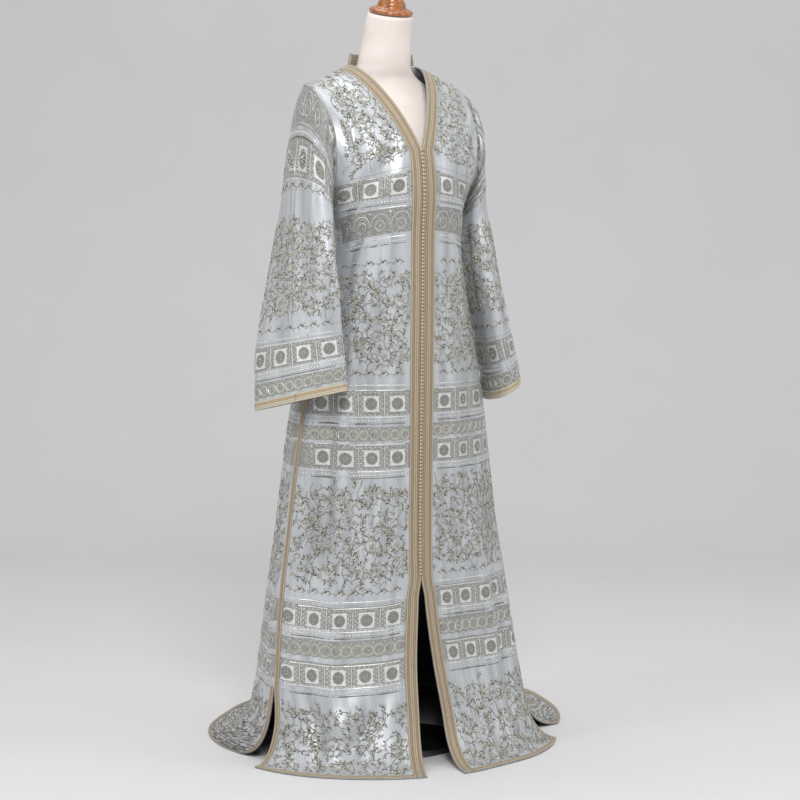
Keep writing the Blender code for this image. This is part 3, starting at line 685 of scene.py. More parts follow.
def walled(top: Array, under: Array, flip: bool) -> tuple[Array, Array]:
    """Points and faces of a closed wall between two grids.

    Args:
        top: The outer grid.
        under: The inner grid.
        flip: Whether along x up points inward.

    Returns:
        The points, and faces that point outward.
    """
    rows, columns = top.shape[:2]
    count = rows * columns
    index = np.arange(count).reshape(rows, columns)
    parts = [grid_faces(rows, columns), grid_faces(rows, columns, count)[:, ::-1]]
    for line, turned in ((index[0], False), (index[-1], True), (index[:, 0], True), (index[:, -1], False)):
        a, b = line[:-1], line[1:]
        strip = np.stack([a, a + count, b + count, b], axis=1)
        parts.append(strip[:, ::-1] if turned else strip)
    faces = np.concatenate(parts)
    return np.concatenate([top.reshape(-1, 3), under.reshape(-1, 3)]), faces[:, ::-1] if flip else faces


def declare(piece: bpy.types.Object, slot: str, *solids: str) -> bpy.types.Object:
    """Hang a finished piece under the root, hide the solids that it replaces, and log it with its number of
    triangles.

    Args:
        piece: The piece.
        slot: The material slot that it shows; not used.
        solids: The solids that it replaces.

    Returns:
        The piece.
    """
    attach(piece, "root")
    if solids:
        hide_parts(*solids)
    piece.data.calc_loop_triangles()
    log.info("%-28s %7d triangles", piece.name, len(piece.data.loop_triangles))
    return piece


class Tint(Enum):
    """Which thread a motif is woven in, as the value of its attribute."""

    SILVER = 0.0
    OLIVE = 1.0
    GOLD = 2.0
    DARK = 3.0


@dataclass
class Motif:
    """A woven motif drawn in metres about its own centre, x along the cloth and y up it."""

    points: list[tuple[float, float, float, float, float]] = field(default_factory=list)
    faces: list[tuple[int, int, int]] = field(default_factory=list)

    def add(self, x: float, y: float, lift: float, ridge: float, tint: float) -> int:
        """Add a point and return its number."""
        self.points.append((x, y, lift, ridge, tint))
        return len(self.points) - 1

    def stroke(self, path: Sequence[tuple[float, float]], width: float, height: float,
               tint: Tint, closed: bool = False) -> None:
        """A raised line of thread along a path, ridged down its middle."""
        line = np.asarray(path, float)
        if closed:
            along = np.roll(line, -1, axis=0) - np.roll(line, 1, axis=0)
        else:
            along = np.gradient(line, axis=0)
        along /= np.maximum(np.linalg.norm(along, axis=1, keepdims=True), 1e-9)
        side = np.stack([-along[:, 1], along[:, 0]], axis=1) * width / 2
        rails = []
        for (x, y), (dx, dy) in zip(line, side):
            left = self.add(x + dx, y + dy, 0.0, 0.0, tint.value)
            top = self.add(x, y, height, 1.0, tint.value)
            right = self.add(x - dx, y - dy, 0.0, 0.0, tint.value)
            rails.append((left, top, right))
        pairs = list(zip(rails, rails[1:]))
        if closed:
            pairs.append((rails[-1], rails[0]))
        for (l0, t0, r0), (l1, t1, r1) in pairs:
            self.faces += [(l0, t0, t1), (l0, t1, l1), (t0, r0, r1), (t0, r1, t1)]

    def leaf(self, x: float, y: float, angle: float, length: float, width: float, height: float,
             tint: Tint) -> None:
        """A leaf that starts at a place and points along an angle in radians."""
        c, s = math.cos(angle), math.sin(angle)
        def put(a: float, b: float, lift: float, ridge: float) -> int:
            """Add a point a along the leaf and b to its left."""
            return self.add(x + a * c - b * s, y + a * s + b * c, lift, ridge, tint.value)
        base = put(0.0, 0.0, 0.0, 0.1)
        right = put(length * 0.42, -width / 2, 0.0, 0.0)
        tip = put(length, 0.0, 0.0, 0.1)
        left = put(length * 0.42, width / 2, 0.0, 0.0)
        top = put(length * 0.45, width * 0.14, height, 1.0)
        self.faces += [(base, right, top), (right, tip, top), (tip, left, top), (left, base, top)]

    def bead(self, x: float, y: float, radius: float, height: float, tint: Tint,
             stretch: float = 1.0) -> None:
        """A small raised knot with five sides."""
        rim = []
        for k in range(5):
            a = 2 * math.pi * k / 5
            rim.append(self.add(x + radius * stretch * math.cos(a), y + radius * math.sin(a), 0.0, 0.22,
                                tint.value))
        top = self.add(x, y, height, 1.0, tint.value)
        self.faces += [(rim[k], rim[(k + 1) % 5], top) for k in range(5)]

    def plate(self, reach: float, square: bool, sides: int, rings: int, lift: float, ridge: float,
              tint: Tint) -> None:
        """A flat patch about the centre, square or round, in rings fine enough to follow the cloth."""
        middle = self.add(0.0, 0.0, lift, ridge, tint.value)
        rows = []
        for r in range(1, rings + 1):
            row = []
            for k in range(sides):
                a = 2 * math.pi * k / sides
                c, s = math.cos(a), math.sin(a)
                far = reach * r / rings / (max(abs(c), abs(s)) if square else 1.0)
                row.append(self.add(far * c, far * s, lift, ridge, tint.value))
            rows.append(row)
        for k in range(sides):
            n = (k + 1) % sides
            self.faces.append((rows[0][k], rows[0][n], middle))
            for inner, outer in zip(rows, rows[1:]):
                self.faces += [(inner[k], outer[k], outer[n]), (inner[k], outer[n], inner[n])]

    def ring(self, x: float, y: float, radius: float, width: float, height: float, steps: int,
             tint: Tint) -> None:
        """A round line of thread."""
        turn = [2 * math.pi * k / steps for k in range(steps)]
        path = [(x + radius * math.cos(a), y + radius * math.sin(a)) for a in turn]
        self.stroke(path, width, height, tint, True)


def square_motif(pitch: float, height: float) -> Motif:
    """A cell with beaded columns and rows round a light square that holds a medallion."""
    m = Motif()
    half = height / 2
    m.stroke([(-pitch / 2, -half), (-pitch / 2, 0), (-pitch / 2, half)], 0.0034, 0.0009, Tint.SILVER)
    beads = 9
    for k in range(beads):
        y = (k - (beads - 1) / 2) * (height - 0.005) / beads
        for side in (-1, 1):
            for column, x in enumerate((pitch / 2 - 0.0052, pitch / 2 - 0.0094)):
                dark = (k + column) % 2
                m.bead(side * x, y, 0.0019, 0.0008, Tint.OLIVE if dark else Tint.SILVER)
    reach = min(pitch / 2 - 0.0120, half - 0.0052)
    m.plate(reach, True, 16, 3, 0.0006, 0.68, Tint.SILVER)
    m.plate(reach * 0.78, False, 14, 3, 0.0011, 0.44, Tint.OLIVE)
    for k in range(10):
        a = 2 * math.pi * k / 10
        m.bead(reach * 0.64 * math.cos(a), reach * 0.64 * math.sin(a), 0.0015, 0.0026, Tint.SILVER)
    for k in range(5):
        a = 2 * math.pi * k / 5
        m.leaf(0.001 * math.cos(a), 0.001 * math.sin(a), a, reach * 0.40, 0.0030, 0.0026, Tint.SILVER)
    number = 10
    for k in range(number):
        x = (k - (number - 1) / 2) * (pitch - 0.006) / number
        for y in (-half + 0.0024, half - 0.0024):
            m.bead(x, y, 0.0018, 0.0008, Tint.SILVER if k % 2 else Tint.OLIVE)
    return m


def circle_motif(pitch: float, height: float) -> Motif:
    """One of a row of circles edged in dark thread."""
    m = Motif()
    radius = height / 2
    m.plate(radius - 0.001, False, 12, 1, 0.0003, 0.62, Tint.OLIVE)
    m.ring(0, 0, radius - 0.0010, 0.0024, 0.0008, 14, Tint.OLIVE)
    m.ring(0, 0, radius - 0.0046, 0.0024, 0.0012, 10, Tint.SILVER)
    m.ring(0, 0, radius * 0.28, 0.0020, 0.0012, 8, Tint.OLIVE)
    for y in (-height / 2 + 0.0010, height / 2 - 0.0010):
        m.bead(pitch / 2, y, 0.0022, 0.0012, Tint.SILVER)
    return m


def arch_motif(pitch: float, height: float) -> Motif:
    """An arch over a beaded medallion."""
    m = Motif()
    rise = [math.pi * k / 10 for k in range(11)]
    for radius, tint in ((pitch / 2 - 0.002, Tint.SILVER), (pitch / 2 - 0.0062, Tint.OLIVE)):
        path = [(radius * math.cos(a), -0.004 + radius * math.sin(a) * 1.12) for a in rise]
        m.stroke(path, 0.0022, 0.0008, tint)
    m.ring(0, -0.004, 0.0105, 0.0020, 0.0008, 14, Tint.SILVER)
    m.ring(0, -0.004, 0.0064, 0.0022, 0.0007, 10, Tint.OLIVE)
    m.bead(0, -0.004, 0.0024, 0.0009, Tint.GOLD)
    for k in range(7):
        x = (k - 3) * pitch / 7
        m.bead(x, -height / 2 + 0.003, 0.0018, 0.0008, Tint.SILVER)
        m.leaf(x - 0.001, -height / 2 + 0.008, 0.9 if k % 2 else -0.7, 0.0048, 0.0022, 0.0007, Tint.OLIVE)
    for side in (-1, 1):
        m.bead(side * (pitch / 2 - 0.001), height / 2 - 0.005, 0.0026, 0.0009, Tint.SILVER)
        for k in range(3):
            m.leaf(side * (pitch / 2 - 0.004), height / 2 - 0.010 - 0.004 * k, 1.2 + 0.5 * k, 0.005, 0.0022,
                   0.0007, Tint.OLIVE)
    return m


def sprig_motif(leaves: int, reach: float, bend: float) -> Motif:
    """A short curved stem with leaves on both sides."""
    m = Motif()
    path = []
    for k in range(4):
        t = k / 3
        path.append((reach * t, bend * reach * math.sin(math.pi * t) * 0.5))
    m.stroke(path, 0.0022, 0.0008, Tint.DARK)
    for k in range(leaves):
        t = (k + 0.5) / leaves
        side = 1 if k % 2 else -1
        y = bend * reach * math.sin(math.pi * t) * 0.5
        m.leaf(reach * t, y, side * (0.75 + 0.25 * t), 0.0088, 0.0046, 0.0015,
               Tint.DARK if k % 3 == 2 else Tint.GOLD)
    m.leaf(reach, 0.0, 0.1, 0.0088, 0.0046, 0.0015, Tint.GOLD)
    return m


def scroll_motif(radius: float, turns: float, leaf: float) -> Motif:
    """A vine that curls inward to a flower, with leaves outside and in."""
    m = Motif()
    steps = max(14, round(turns * 16))
    path, angles = [], []
    for k in range(steps + 1):
        t = k / steps
        a = -0.4 + t * turns * 2 * math.pi
        r = radius * (1 - 0.68 * t)
        path.append((r * math.cos(a), r * math.sin(a)))
        angles.append(a)
    tail = [(path[0][0] + 0.35 * radius, path[0][1] - 0.9 * radius),
            (path[0][0] + 0.22 * radius, path[0][1] - 0.45 * radius)]
    m.stroke(tail + path, 0.0026, 0.0010, Tint.OLIVE)
    walked = 0.0
    for k in range(1, steps):
        walked += math.dist(path[k], path[k - 1])
        if walked < leaf * 0.95:
            continue
        walked = 0.0
        heading = angles[k] + math.pi / 2
        for side in ((-0.95,) if k % 3 == 0 else (-0.95, 0.8)):
            m.leaf(*path[k], heading + side, leaf * (0.85 if side > 0 else 1.0), leaf * 0.50, 0.0016,
                   Tint.DARK if k % 4 == 1 else Tint.GOLD)
    for k in range(6):
        a = 2 * math.pi * k / 6 + 0.3
        m.leaf(0.1 * leaf * math.cos(a), 0.1 * leaf * math.sin(a), a, leaf * 0.66, leaf * 0.38, 0.0017,
               Tint.GOLD)
    m.bead(0, 0, leaf * 0.2, 0.0020, Tint.SILVER)
    return m


class Weave(Enum):
    """Kinds of woven band."""

    SQUARES = "squares"
    CIRCLES = "circles"
    ARCHES = "arches"
    BEADS = "beads"
    DOTS = "dots"
    LINE = "line"
    SPRIGS = "sprigs"
    FINE = "fine vines"
    VINES = "vines"
    GRAND = "grand vines"


class Band(NamedTuple):
    """A woven band between two pattern heights."""

    weave: Weave
    low: float
    high: float


BODY_BANDS = (
    Band(Weave.GRAND, -0.33, 0.136),
    Band(Weave.BEADS, 0.161, 0.174), Band(Weave.LINE, 0.176, 0.178), Band(Weave.SQUARES, 0.178, 0.222),
    Band(Weave.LINE, 0.222, 0.224), Band(Weave.CIRCLES, 0.238, 0.270), Band(Weave.BEADS, 0.280, 0.292),
    Band(Weave.LINE, 0.292, 0.294), Band(Weave.SQUARES, 0.294, 0.340), Band(Weave.LINE, 0.341, 0.343),
    Band(Weave.DOTS, 0.346, 0.352), Band(Weave.LINE, 0.354, 0.356), Band(Weave.SPRIGS, 0.360, 0.385),
    Band(Weave.VINES, 0.390, 0.596),
    Band(Weave.BEADS, 0.610, 0.621), Band(Weave.LINE, 0.622, 0.624), Band(Weave.SQUARES, 0.625, 0.676),
    Band(Weave.LINE, 0.677, 0.679), Band(Weave.CIRCLES, 0.684, 0.712), Band(Weave.BEADS, 0.722, 0.732),
    Band(Weave.LINE, 0.734, 0.736), Band(Weave.SQUARES, 0.737, 0.788), Band(Weave.LINE, 0.789, 0.791),
    Band(Weave.DOTS, 0.793, 0.799), Band(Weave.LINE, 0.800, 0.802), Band(Weave.SPRIGS, 0.812, 0.834),
    Band(Weave.FINE, 0.842, 1.040),
    Band(Weave.SPRIGS, 1.052, 1.070), Band(Weave.BEADS, 1.104, 1.114), Band(Weave.LINE, 1.117, 1.119),
    Band(Weave.ARCHES, 1.122, 1.176), Band(Weave.LINE, 1.178, 1.180), Band(Weave.BEADS, 1.188, 1.197),
    Band(Weave.SQUARES, 1.199, 1.244), Band(Weave.LINE, 1.245, 1.247), Band(Weave.DOTS, 1.252, 1.258),
    Band(Weave.FINE, 1.275, 1.475),
)
SLEEVE_BANDS = (
    Band(Weave.CIRCLES, 0.790, 0.818), Band(Weave.BEADS, 0.826, 0.836), Band(Weave.LINE, 0.838, 0.840),
    Band(Weave.SQUARES, 0.841, 0.889), Band(Weave.LINE, 0.890, 0.892), Band(Weave.DOTS, 0.894, 0.899),
    Band(Weave.LINE, 0.900, 0.902), Band(Weave.SPRIGS, 0.908, 0.930), Band(Weave.FINE, 0.945, 1.140),
    Band(Weave.SPRIGS, 1.178, 1.196), Band(Weave.LINE, 1.198, 1.200), Band(Weave.SQUARES, 1.202, 1.250),
    Band(Weave.BEADS, 1.254, 1.263), Band(Weave.ARCHES, 1.266, 1.318), Band(Weave.DOTS, 1.322, 1.328),
    Band(Weave.FINE, 1.340, 1.400),
)
SPRIG_PITCH = 0.030
# Repeats with their pitch; knots with their pitch and bead; vines with their radius, leaf and spacing
REPEATS = {
    Weave.SQUARES: (square_motif, 0.057), Weave.CIRCLES: (circle_motif, 0.0175 * 1.3),
    Weave.ARCHES: (arch_motif, 0.046),
}
KNOTS = {
    Weave.BEADS: (0.0068, (0.0036, 0.0018, Tint.SILVER, 0.95)),
    Weave.DOTS: (0.0050, (0.0018, 0.0010, Tint.OLIVE)),
}
VINE_SIZES = {
    Weave.FINE: (0.023, 0.0088, 0.0195), Weave.VINES: (0.028, 0.0092, 0.0190),
    Weave.GRAND: (0.032, 0.0098, 0.0185),
}


@dataclass
class Threadwork:
    """The raised thread of one panel, gathered motif by motif and then laid on its cloth.

    Attributes:
        surface: The cloth it lies on.
        first: Width kept clear along the first edge.
        last: Width kept clear along the last edge.
        seed: Start of the jitter in the scattered sprigs.
    """

    surface: Surface
    first: float = 0.0
    last: float = 0.0
    seed: int = 1
    parts: list[Array] = field(default_factory=list)
    triangles: list[Array] = field(default_factory=list)
    count: int = 0

    def span(self, height: float) -> tuple[float, float]:
        """First and last distance along the row that a motif may cover."""
        total = float(self.surface.length_at(height))
        if self.surface.closed:
            return 0.0, total
        if self.surface.centred:
            return -total / 2 + self.first, total / 2 - self.last
        return self.first, total - self.last

    def stamp(self, motif: Motif, along: Array, height: Array, angle: Array, scale: Array,
              mirror: Optional[Array] = None) -> None:
        """Lay a copy of a motif at each place."""
        base = np.array(motif.points)
        tris = np.array(motif.faces)
        along, height, angle, scale = np.broadcast_arrays(*map(np.atleast_1d, (along, height, angle, scale)))
        flip = np.ones(len(along)) if mirror is None else np.where(mirror, -1.0, 1.0)
        x = base[None, :, 0] * flip[:, None] * scale[:, None]
        y = base[None, :, 1] * scale[:, None]
        c, s = np.cos(angle)[:, None], np.sin(angle)[:, None]
        laid = np.empty((len(along), len(base), 5))
        laid[..., 0] = along[:, None] + x * c - y * s
        laid[..., 1] = height[:, None] + x * s + y * c
        laid[..., 2:] = base[None, :, 2:]
        faces = tris[None] + (np.arange(len(along)) * len(base))[:, None, None] + self.count
        faces = np.where((flip < 0)[:, None, None], faces[:, :, ::-1], faces)
        self.parts.append(laid.reshape(-1, 5))
        self.triangles.append(faces.reshape(-1, 3))
        self.count += len(along) * len(base)

    def row(self, motif: Motif, pitch: float, height: float) -> None:
        """A level row of a motif at its pitch, whole ones only; a closed row is evened out."""
        low, high = self.span(height)
        if self.surface.closed:
            number = max(3, round((high - low) / pitch))
            along = low + (high - low) / number * (np.arange(number) + 0.5)
        elif self.surface.centred:
            number = int((high - low) / pitch)
            along = (np.arange(number) - (number - 1) / 2) * pitch
        else:
            along = np.arange(low + pitch / 2, high, pitch)
        self.stamp(motif, along, height, 0.0, 1.0)

    def line(self, height: float, width: float, tint: Tint = Tint.SILVER) -> None:
        """A level line from edge to edge."""
        low, high = self.span(height)
        cells = max(8, round((high - low) / 0.012))
        along = np.linspace(low, high, cells + 1)
        m = Motif()
        m.stroke([(float(a), 0.0) for a in along], width, 0.0006, tint)
        self.stamp(m, 0.0, height, 0.0, 1.0)

    def vines(self, band: Band, radius: float, leaf: float, spacing: float) -> None:
        """Curling vines in rows, alternately turned, with sprigs scattered between them."""
        rng = np.random.default_rng(self.seed + int(1000 * (band.high + 1)))
        rows = max(1, round((band.high - band.low) / (radius * 1.75)))
        step = (band.high - band.low) / rows
        scrolls = [scroll_motif(radius, 1.45, leaf), scroll_motif(radius * 0.82, 1.2, leaf)]
        pitch = radius * 2.05
        for r in range(rows):
            height = band.low + step * (r + 0.5)
            low, high = self.span(height)
            along = np.arange(low + pitch * (0.5 if r % 2 else 0.15), high + pitch * 0.3, pitch)
            if not len(along):
                continue
            along = along + rng.uniform(-0.06, 0.06, len(along)) * pitch
            turned = (np.arange(len(along)) + r) % 2 == 0
            angle = rng.uniform(-0.5, 0.5, len(along)) + np.where(turned, 0.4, math.pi + 0.4)
            scale = rng.uniform(0.85, 1.08, len(along))
            small = (np.arange(len(along)) + r * 2) % 3 == 0
            for motif, pick in zip(scrolls, (~small, small)):
                self.stamp(motif, along[pick], height, angle[pick], scale[pick], turned[pick])
        sprigs = [sprig_motif(5, 0.017, 0.5), sprig_motif(3, 0.011, -0.4), sprig_motif(7, 0.024, 0.35)]
        levels = max(1, round((band.high - band.low) / spacing))
        for r in range(levels):
            height = band.low + (band.high - band.low) * (r + 0.5) / levels
            low, high = self.span(height)
            along = np.arange(low + spacing * (0.2 + 0.5 * (r % 2)), high, spacing)
            if not len(along):
                continue
            along = along + rng.uniform(-0.4, 0.4, len(along)) * spacing
            heights = height + rng.uniform(-0.4, 0.4, len(along)) * spacing
            choice = rng.integers(0, len(sprigs), len(along))
            angle = rng.uniform(0, 2 * math.pi, len(along))
            for k, motif in enumerate(sprigs):
                pick = choice == k
                scale = rng.uniform(0.75, 1.05, pick.sum())
                self.stamp(motif, along[pick], heights[pick], angle[pick], scale)

    def weave(self, bands: Iterable[Band]) -> None:
        """Gather every band of a table."""
        for band in bands:
            low = max(band.low, float(self.surface.heights[0]) + HEM_BRAID_WIDTH)
            high = min(band.high, float(self.surface.heights[-1]))
            middle, tall = (low + high) / 2, high - low
            if band.weave in REPEATS:
                draw, pitch = REPEATS[band.weave]
                self.row(draw(pitch, tall), pitch, middle)
            elif band.weave in KNOTS:
                pitch, bead = KNOTS[band.weave]
                m = Motif()
                m.bead(0, 0, *bead)
                self.row(m, pitch, middle)
                if band.weave is Weave.BEADS:
                    # painted shadow: a dark thread line laid just under the row of beads
                    self.line(middle - 0.0058, 0.0030, Tint.DARK)
            elif band.weave is Weave.LINE:
                self.line(middle, 0.0038)
            elif band.weave is Weave.SPRIGS:
                self.row(sprig_motif(5, 0.020, 0.6), SPRIG_PITCH, middle)
                m = Motif()
                m.bead(-0.006, 0.002, 0.0022, 0.0010, Tint.GOLD)
                self.row(m, SPRIG_PITCH, middle)
            else:
                self.vines(Band(band.weave, low, high), *VINE_SIZES[band.weave])

    def lay(self, name: str, material: bpy.types.Material) -> bpy.types.Object:
        """Put everything gathered on the cloth, leaving out what crosses an edge."""
        points = np.concatenate(self.parts)
        faces = np.concatenate(self.triangles)
        heights = points[:, 1]
        total = self.surface.length_at(heights)
        along = points[:, 0] + (total / 2 if self.surface.centred else 0.0)
        inside = (heights > self.surface.heights[0] + HEM_BRAID_WIDTH) & (heights < self.surface.heights[-1])
        if not self.surface.closed:
            inside &= (along > self.first) & (along < total - self.last)
        faces = faces[inside[faces].all(axis=1)]
        kept, faces = np.unique(faces, return_inverse=True)
        faces = faces.reshape(-1, 3)
        points = points[kept]
        lift = CLOTH / 2 - 0.00015 + points[:, 2]
        verts = self.surface.at(points[:, 0], points[:, 1], lift)
        if self.surface.outward < 0:
            faces = faces[:, ::-1]
        return join_mesh(name, verts, faces, material,
                         {"ridge": points[:, 3], "tint": points[:, 4], "cloth": points[:, :2]}, flat=True)


def srgb(code: str) -> tuple[float, float, float, float]:
    """A colour from its sRGB hex value, made linear."""
    parts = [int(code[k:k + 2], 16) / 255 for k in (1, 3, 5)]
    linear = [p / 12.92 if p <= 0.04045 else ((p + 0.055) / 1.055) ** 2.4 for p in parts]
    return (*linear, 1.0)


def node(tree: bpy.types.NodeTree, kind: str, inputs: Optional[dict] = None, out: int | str = 0,
         stops: Sequence[tuple] = (), stepped: bool = False, **settings) -> bpy.types.NodeSocket:
    """Add a node and return one of its outputs.

    Args:
        tree: The tree it joins.
        kind: Its type, without the prefix that all have.
        inputs: For each input, by name or number, a value or an output socket to link.
        out: Name or number of the output.
        stops: On a ramp, the place and colour of each stop.
        stepped: Whether the ramp jumps from stop to stop.
        settings: Its own properties.

    Returns:
        The output.
    """
    made = tree.nodes.new("ShaderNode" + kind)
    for key, value in settings.items():
        setattr(made, key, value)
    for key, value in (inputs or {}).items():
        if isinstance(value, bpy.types.NodeSocket):
            tree.links.new(value, made.inputs[key])
        else:
            made.inputs[key].default_value = value
    if stepped:
        made.color_ramp.interpolation = "CONSTANT"
    for number, (place, colour) in enumerate(stops):
        if number < 2:
            element = made.color_ramp.elements[number]
            element.position = place
        else:
            element = made.color_ramp.elements.new(place)
        element.color = colour
    return made.outputs[out]


def new_material(name: str, **values) -> tuple[bpy.types.Material, bpy.types.NodeTree]:
    """A material with its Principled shader's constant values set."""
    material = bpy.data.materials.new(name)
    material.use_nodes = True
    for key, value in values.items():
        material.node_tree.nodes["Principled BSDF"].inputs[key.replace("_", " ")].default_value = value
    return material, material.node_tree


def dress(tree: bpy.types.NodeTree, **sockets: bpy.types.NodeSocket) -> None:
    """Link sockets to the inputs of a material's shader."""
    for name, socket in sockets.items():
        tree.links.new(socket, tree.nodes["Principled BSDF"].inputs[name.replace("_", " ")])


def wave_scale(size_mm: float) -> float:
    """Scale of a wave texture whose bands are a size apart."""
    return math.pi * 2 * 1000 / size_mm / 20


BLACK, PALE, WHITE = ((level, level, level, 1.0) for level in (0.0, 0.8, 1.0))
PATTERN_TOP = 1.5        # pattern height that the ground ramp's far end stands for


@dataclass(frozen=True)
class SatinFinish:
    """Silver-blue silk satin with a woven figure.

    Satin floats give a pearly, fairly sharp sheen; the woven bands are duller and more olive.
    Threads are 0.4 mm apart, drawn at 1.6 mm so that they show.
    """

    name: str
    bands: tuple[Band, ...]
    light: str = "#CDD1D5"
    shade: str = "#A6AAAE"
    ground: str = "#9B9A95"
    fleck: str = "#75746E"
    painted_inner_shade: str = "#2B2C2E"
    thread_mm: float = 1.6

    def build(self) -> bpy.types.Material:
        """Make the material."""
        material, tree = new_material(
            self.name, Metallic=0.30, Roughness=0.36, Sheen_Weight=0.25, Sheen_Roughness=0.4,
            Anisotropic=0.35, Specular_IOR_Level=0.6)
        cloth = node(tree, "UVMap", uv_map="cloth")
        up = node(tree, "SeparateXYZ", {0: cloth}, "Y")
        height = node(tree, "Math", {0: up, 1: 1 / PATTERN_TOP}, operation="MULTIPLY")
        stops = [(0.0, BLACK)]
        for band in sorted(self.bands, key=lambda b: b.low):
            if band.weave in REPEATS:
                stops += [((band.low - 0.001) / PATTERN_TOP, WHITE),
                          ((band.high + 0.001) / PATTERN_TOP, BLACK)]
        worked = node(tree, "ValToRGB", {0: height}, stops=stops, stepped=True)
        long = node(tree, "Mapping", {"Vector": cloth, "Scale": (48.0, 5.0, 1.0)})
        streaks = node(tree, "TexNoise", {"Vector": long, "Scale": 1.0, "Detail": 3.0})
        plain = node(tree, "ValToRGB", {0: streaks},
                     stops=[(0.30, srgb(self.shade)), (0.70, srgb(self.light))])
        flecks = node(tree, "TexVoronoi", {"Vector": cloth, "Scale": 330.0}, "Distance", feature="F1")
        figure = node(tree, "ValToRGB", {0: flecks}, stops=[
            (0.20, srgb(self.fleck)), (0.50, srgb(self.ground)), (0.90, srgb(self.shade))])
        colour = node(tree, "Mix", {0: worked, 6: plain, 7: figure}, 2, data_type="RGBA")
        # painted shade: the cloth's inner side is coloured near black, less so near the neck
        inner = node(tree, "Attribute", out="Fac", attribute_name="inside")
        colour = node(tree, "Mix", {0: inner, 6: colour, 7: srgb(self.painted_inner_shade)}, 2, data_type="RGBA")
        rough = node(tree, "MapRange", {"Value": worked, 3: 0.40, 4: 0.54})
        wave = {"Vector": cloth, "Scale": wave_scale(self.thread_mm), "Distortion": 0.6}
        weft = node(tree, "TexWave", wave, "Fac", bands_direction="Y")
        warp = node(tree, "TexWave", wave, "Fac", bands_direction="X")
        weave = node(tree, "Math", {0: weft, 1: warp}, operation="ADD")
        knots = node(tree, "Math", {0: flecks, 1: worked}, operation="MULTIPLY")
        relief = node(tree, "Math", {0: weave, 1: 0.12, 2: knots}, operation="MULTIPLY_ADD")
        bump = node(tree, "Bump", {"Strength": 0.5, "Distance": 0.0007, "Height": relief})
        dress(tree, Base_Color=colour, Roughness=rough, Normal=bump)
        return material


@dataclass(frozen=True)
class ThreadFinish:
    """Raised gold, olive and silver thread, with painted highlight along its ridge and painted shade where it
    meets the cloth.
    """

    name: str = "raised_thread"
    # Each pair: painted shade at the thread's foot, then painted highlight along its ridge
    silver: tuple[str, str] = ("#6E6F6D", "#E2E3E1")
    olive: tuple[str, str] = ("#62615B", "#ABAAA2")
    gold: tuple[str, str] = ("#55534B", "#DAD5C4")
    dark: tuple[str, str] = ("#4C4A44", "#7C7A71")

    def build(self) -> bpy.types.Material:
        """Make the material."""
        material, tree = new_material(self.name, Metallic=0.35, Roughness=0.42, Specular_IOR_Level=0.5)
        ridge = node(tree, "Attribute", out="Fac", attribute_name="ridge")
        tint = node(tree, "Attribute", out="Fac", attribute_name="tint")
        mixed = srgb(self.silver[1])
        for number, (low, high) in enumerate((self.silver, self.olive, self.gold, self.dark)):
            # ramp from painted shade at the foot of the thread to painted highlight on its ridge
            tone = node(tree, "ValToRGB", {0: ridge}, stops=[(0.30, srgb(low)), (0.56, srgb(high))])
            above = node(tree, "Math", {0: tint, 1: number - 0.5}, operation="GREATER_THAN")
            mixed = node(tree, "Mix", {0: above, 6: mixed, 7: tone}, 2, data_type="RGBA")
        cloth = node(tree, "UVMap", uv_map="cloth")
        worn = node(tree, "TexNoise", {"Vector": cloth, "Scale": 160.0, "Detail": 2.0})
        dull = node(tree, "ValToRGB", {0: worn}, stops=[(0.35, PALE), (0.6, WHITE)])
        colour = node(tree, "Mix", {0: 1.0, 6: mixed, 7: dull}, 2, data_type="RGBA", blend_type="MULTIPLY")
        dress(tree, Base_Color=colour)
        return material


@dataclass(frozen=True)
class BraidFinish:
    """Braid of viscose cords laid side by side: their own colour along each cord, painted shade in the
    grooves.

    The twist of the cords is 1.2 mm, drawn at 3 mm so that it shows.
    """

    name: str
    cord: str
    groove_shade: str
    accent: str
    twist_mm: float = 3.0

    def build(self) -> bpy.types.Material:
        """Make the material."""
        material, tree = new_material(self.name, Metallic=0.12, Roughness=0.55, Sheen_Weight=0.3,
                                      Sheen_Roughness=0.5)
        ridge = node(tree, "Attribute", out="Fac", attribute_name="ridge")
        tint = node(tree, "Attribute", out="Fac", attribute_name="tint")
        cloth = node(tree, "UVMap", uv_map="cloth")
        tilted = node(tree, "Mapping", {"Vector": cloth, "Rotation": (0, 0, 0.6)})
        wave = {"Vector": tilted, "Scale": wave_scale(self.twist_mm), "Distortion": 1.0}
        twist = node(tree, "TexWave", wave, "Fac", bands_direction="Y")
        wear = node(tree, "TexNoise", {"Vector": cloth, "Scale": 120.0, "Detail": 3.0})
        # painted shade in the grooves between the cords, rising to each cord's own colour on top
        light, warm = (
            node(tree, "ValToRGB", {0: ridge}, stops=[(0.10, srgb(self.groove_shade)), (0.62, srgb(code))])
            for code in (self.cord, self.accent))
        colour = node(tree, "Mix", {0: tint, 6: light, 7: warm}, 2, data_type="RGBA")
        # painted shade in the twist of each cord, broken up by random wear
        shaded = node(tree, "Math", {0: twist, 1: wear}, operation="MULTIPLY")
        tone = node(tree, "ValToRGB", {0: shaded}, stops=[(0.0, (0.62, 0.60, 0.57, 1.0)), (0.45, WHITE)])
        mixed = node(tree, "Mix", {0: 1.0, 6: colour, 7: tone}, 2, data_type="RGBA", blend_type="MULTIPLY")
        bump = node(tree, "Bump", {"Strength": 0.6, "Distance": 0.0006, "Height": twist})
        dress(tree, Base_Color=mixed, Normal=bump)
        return material


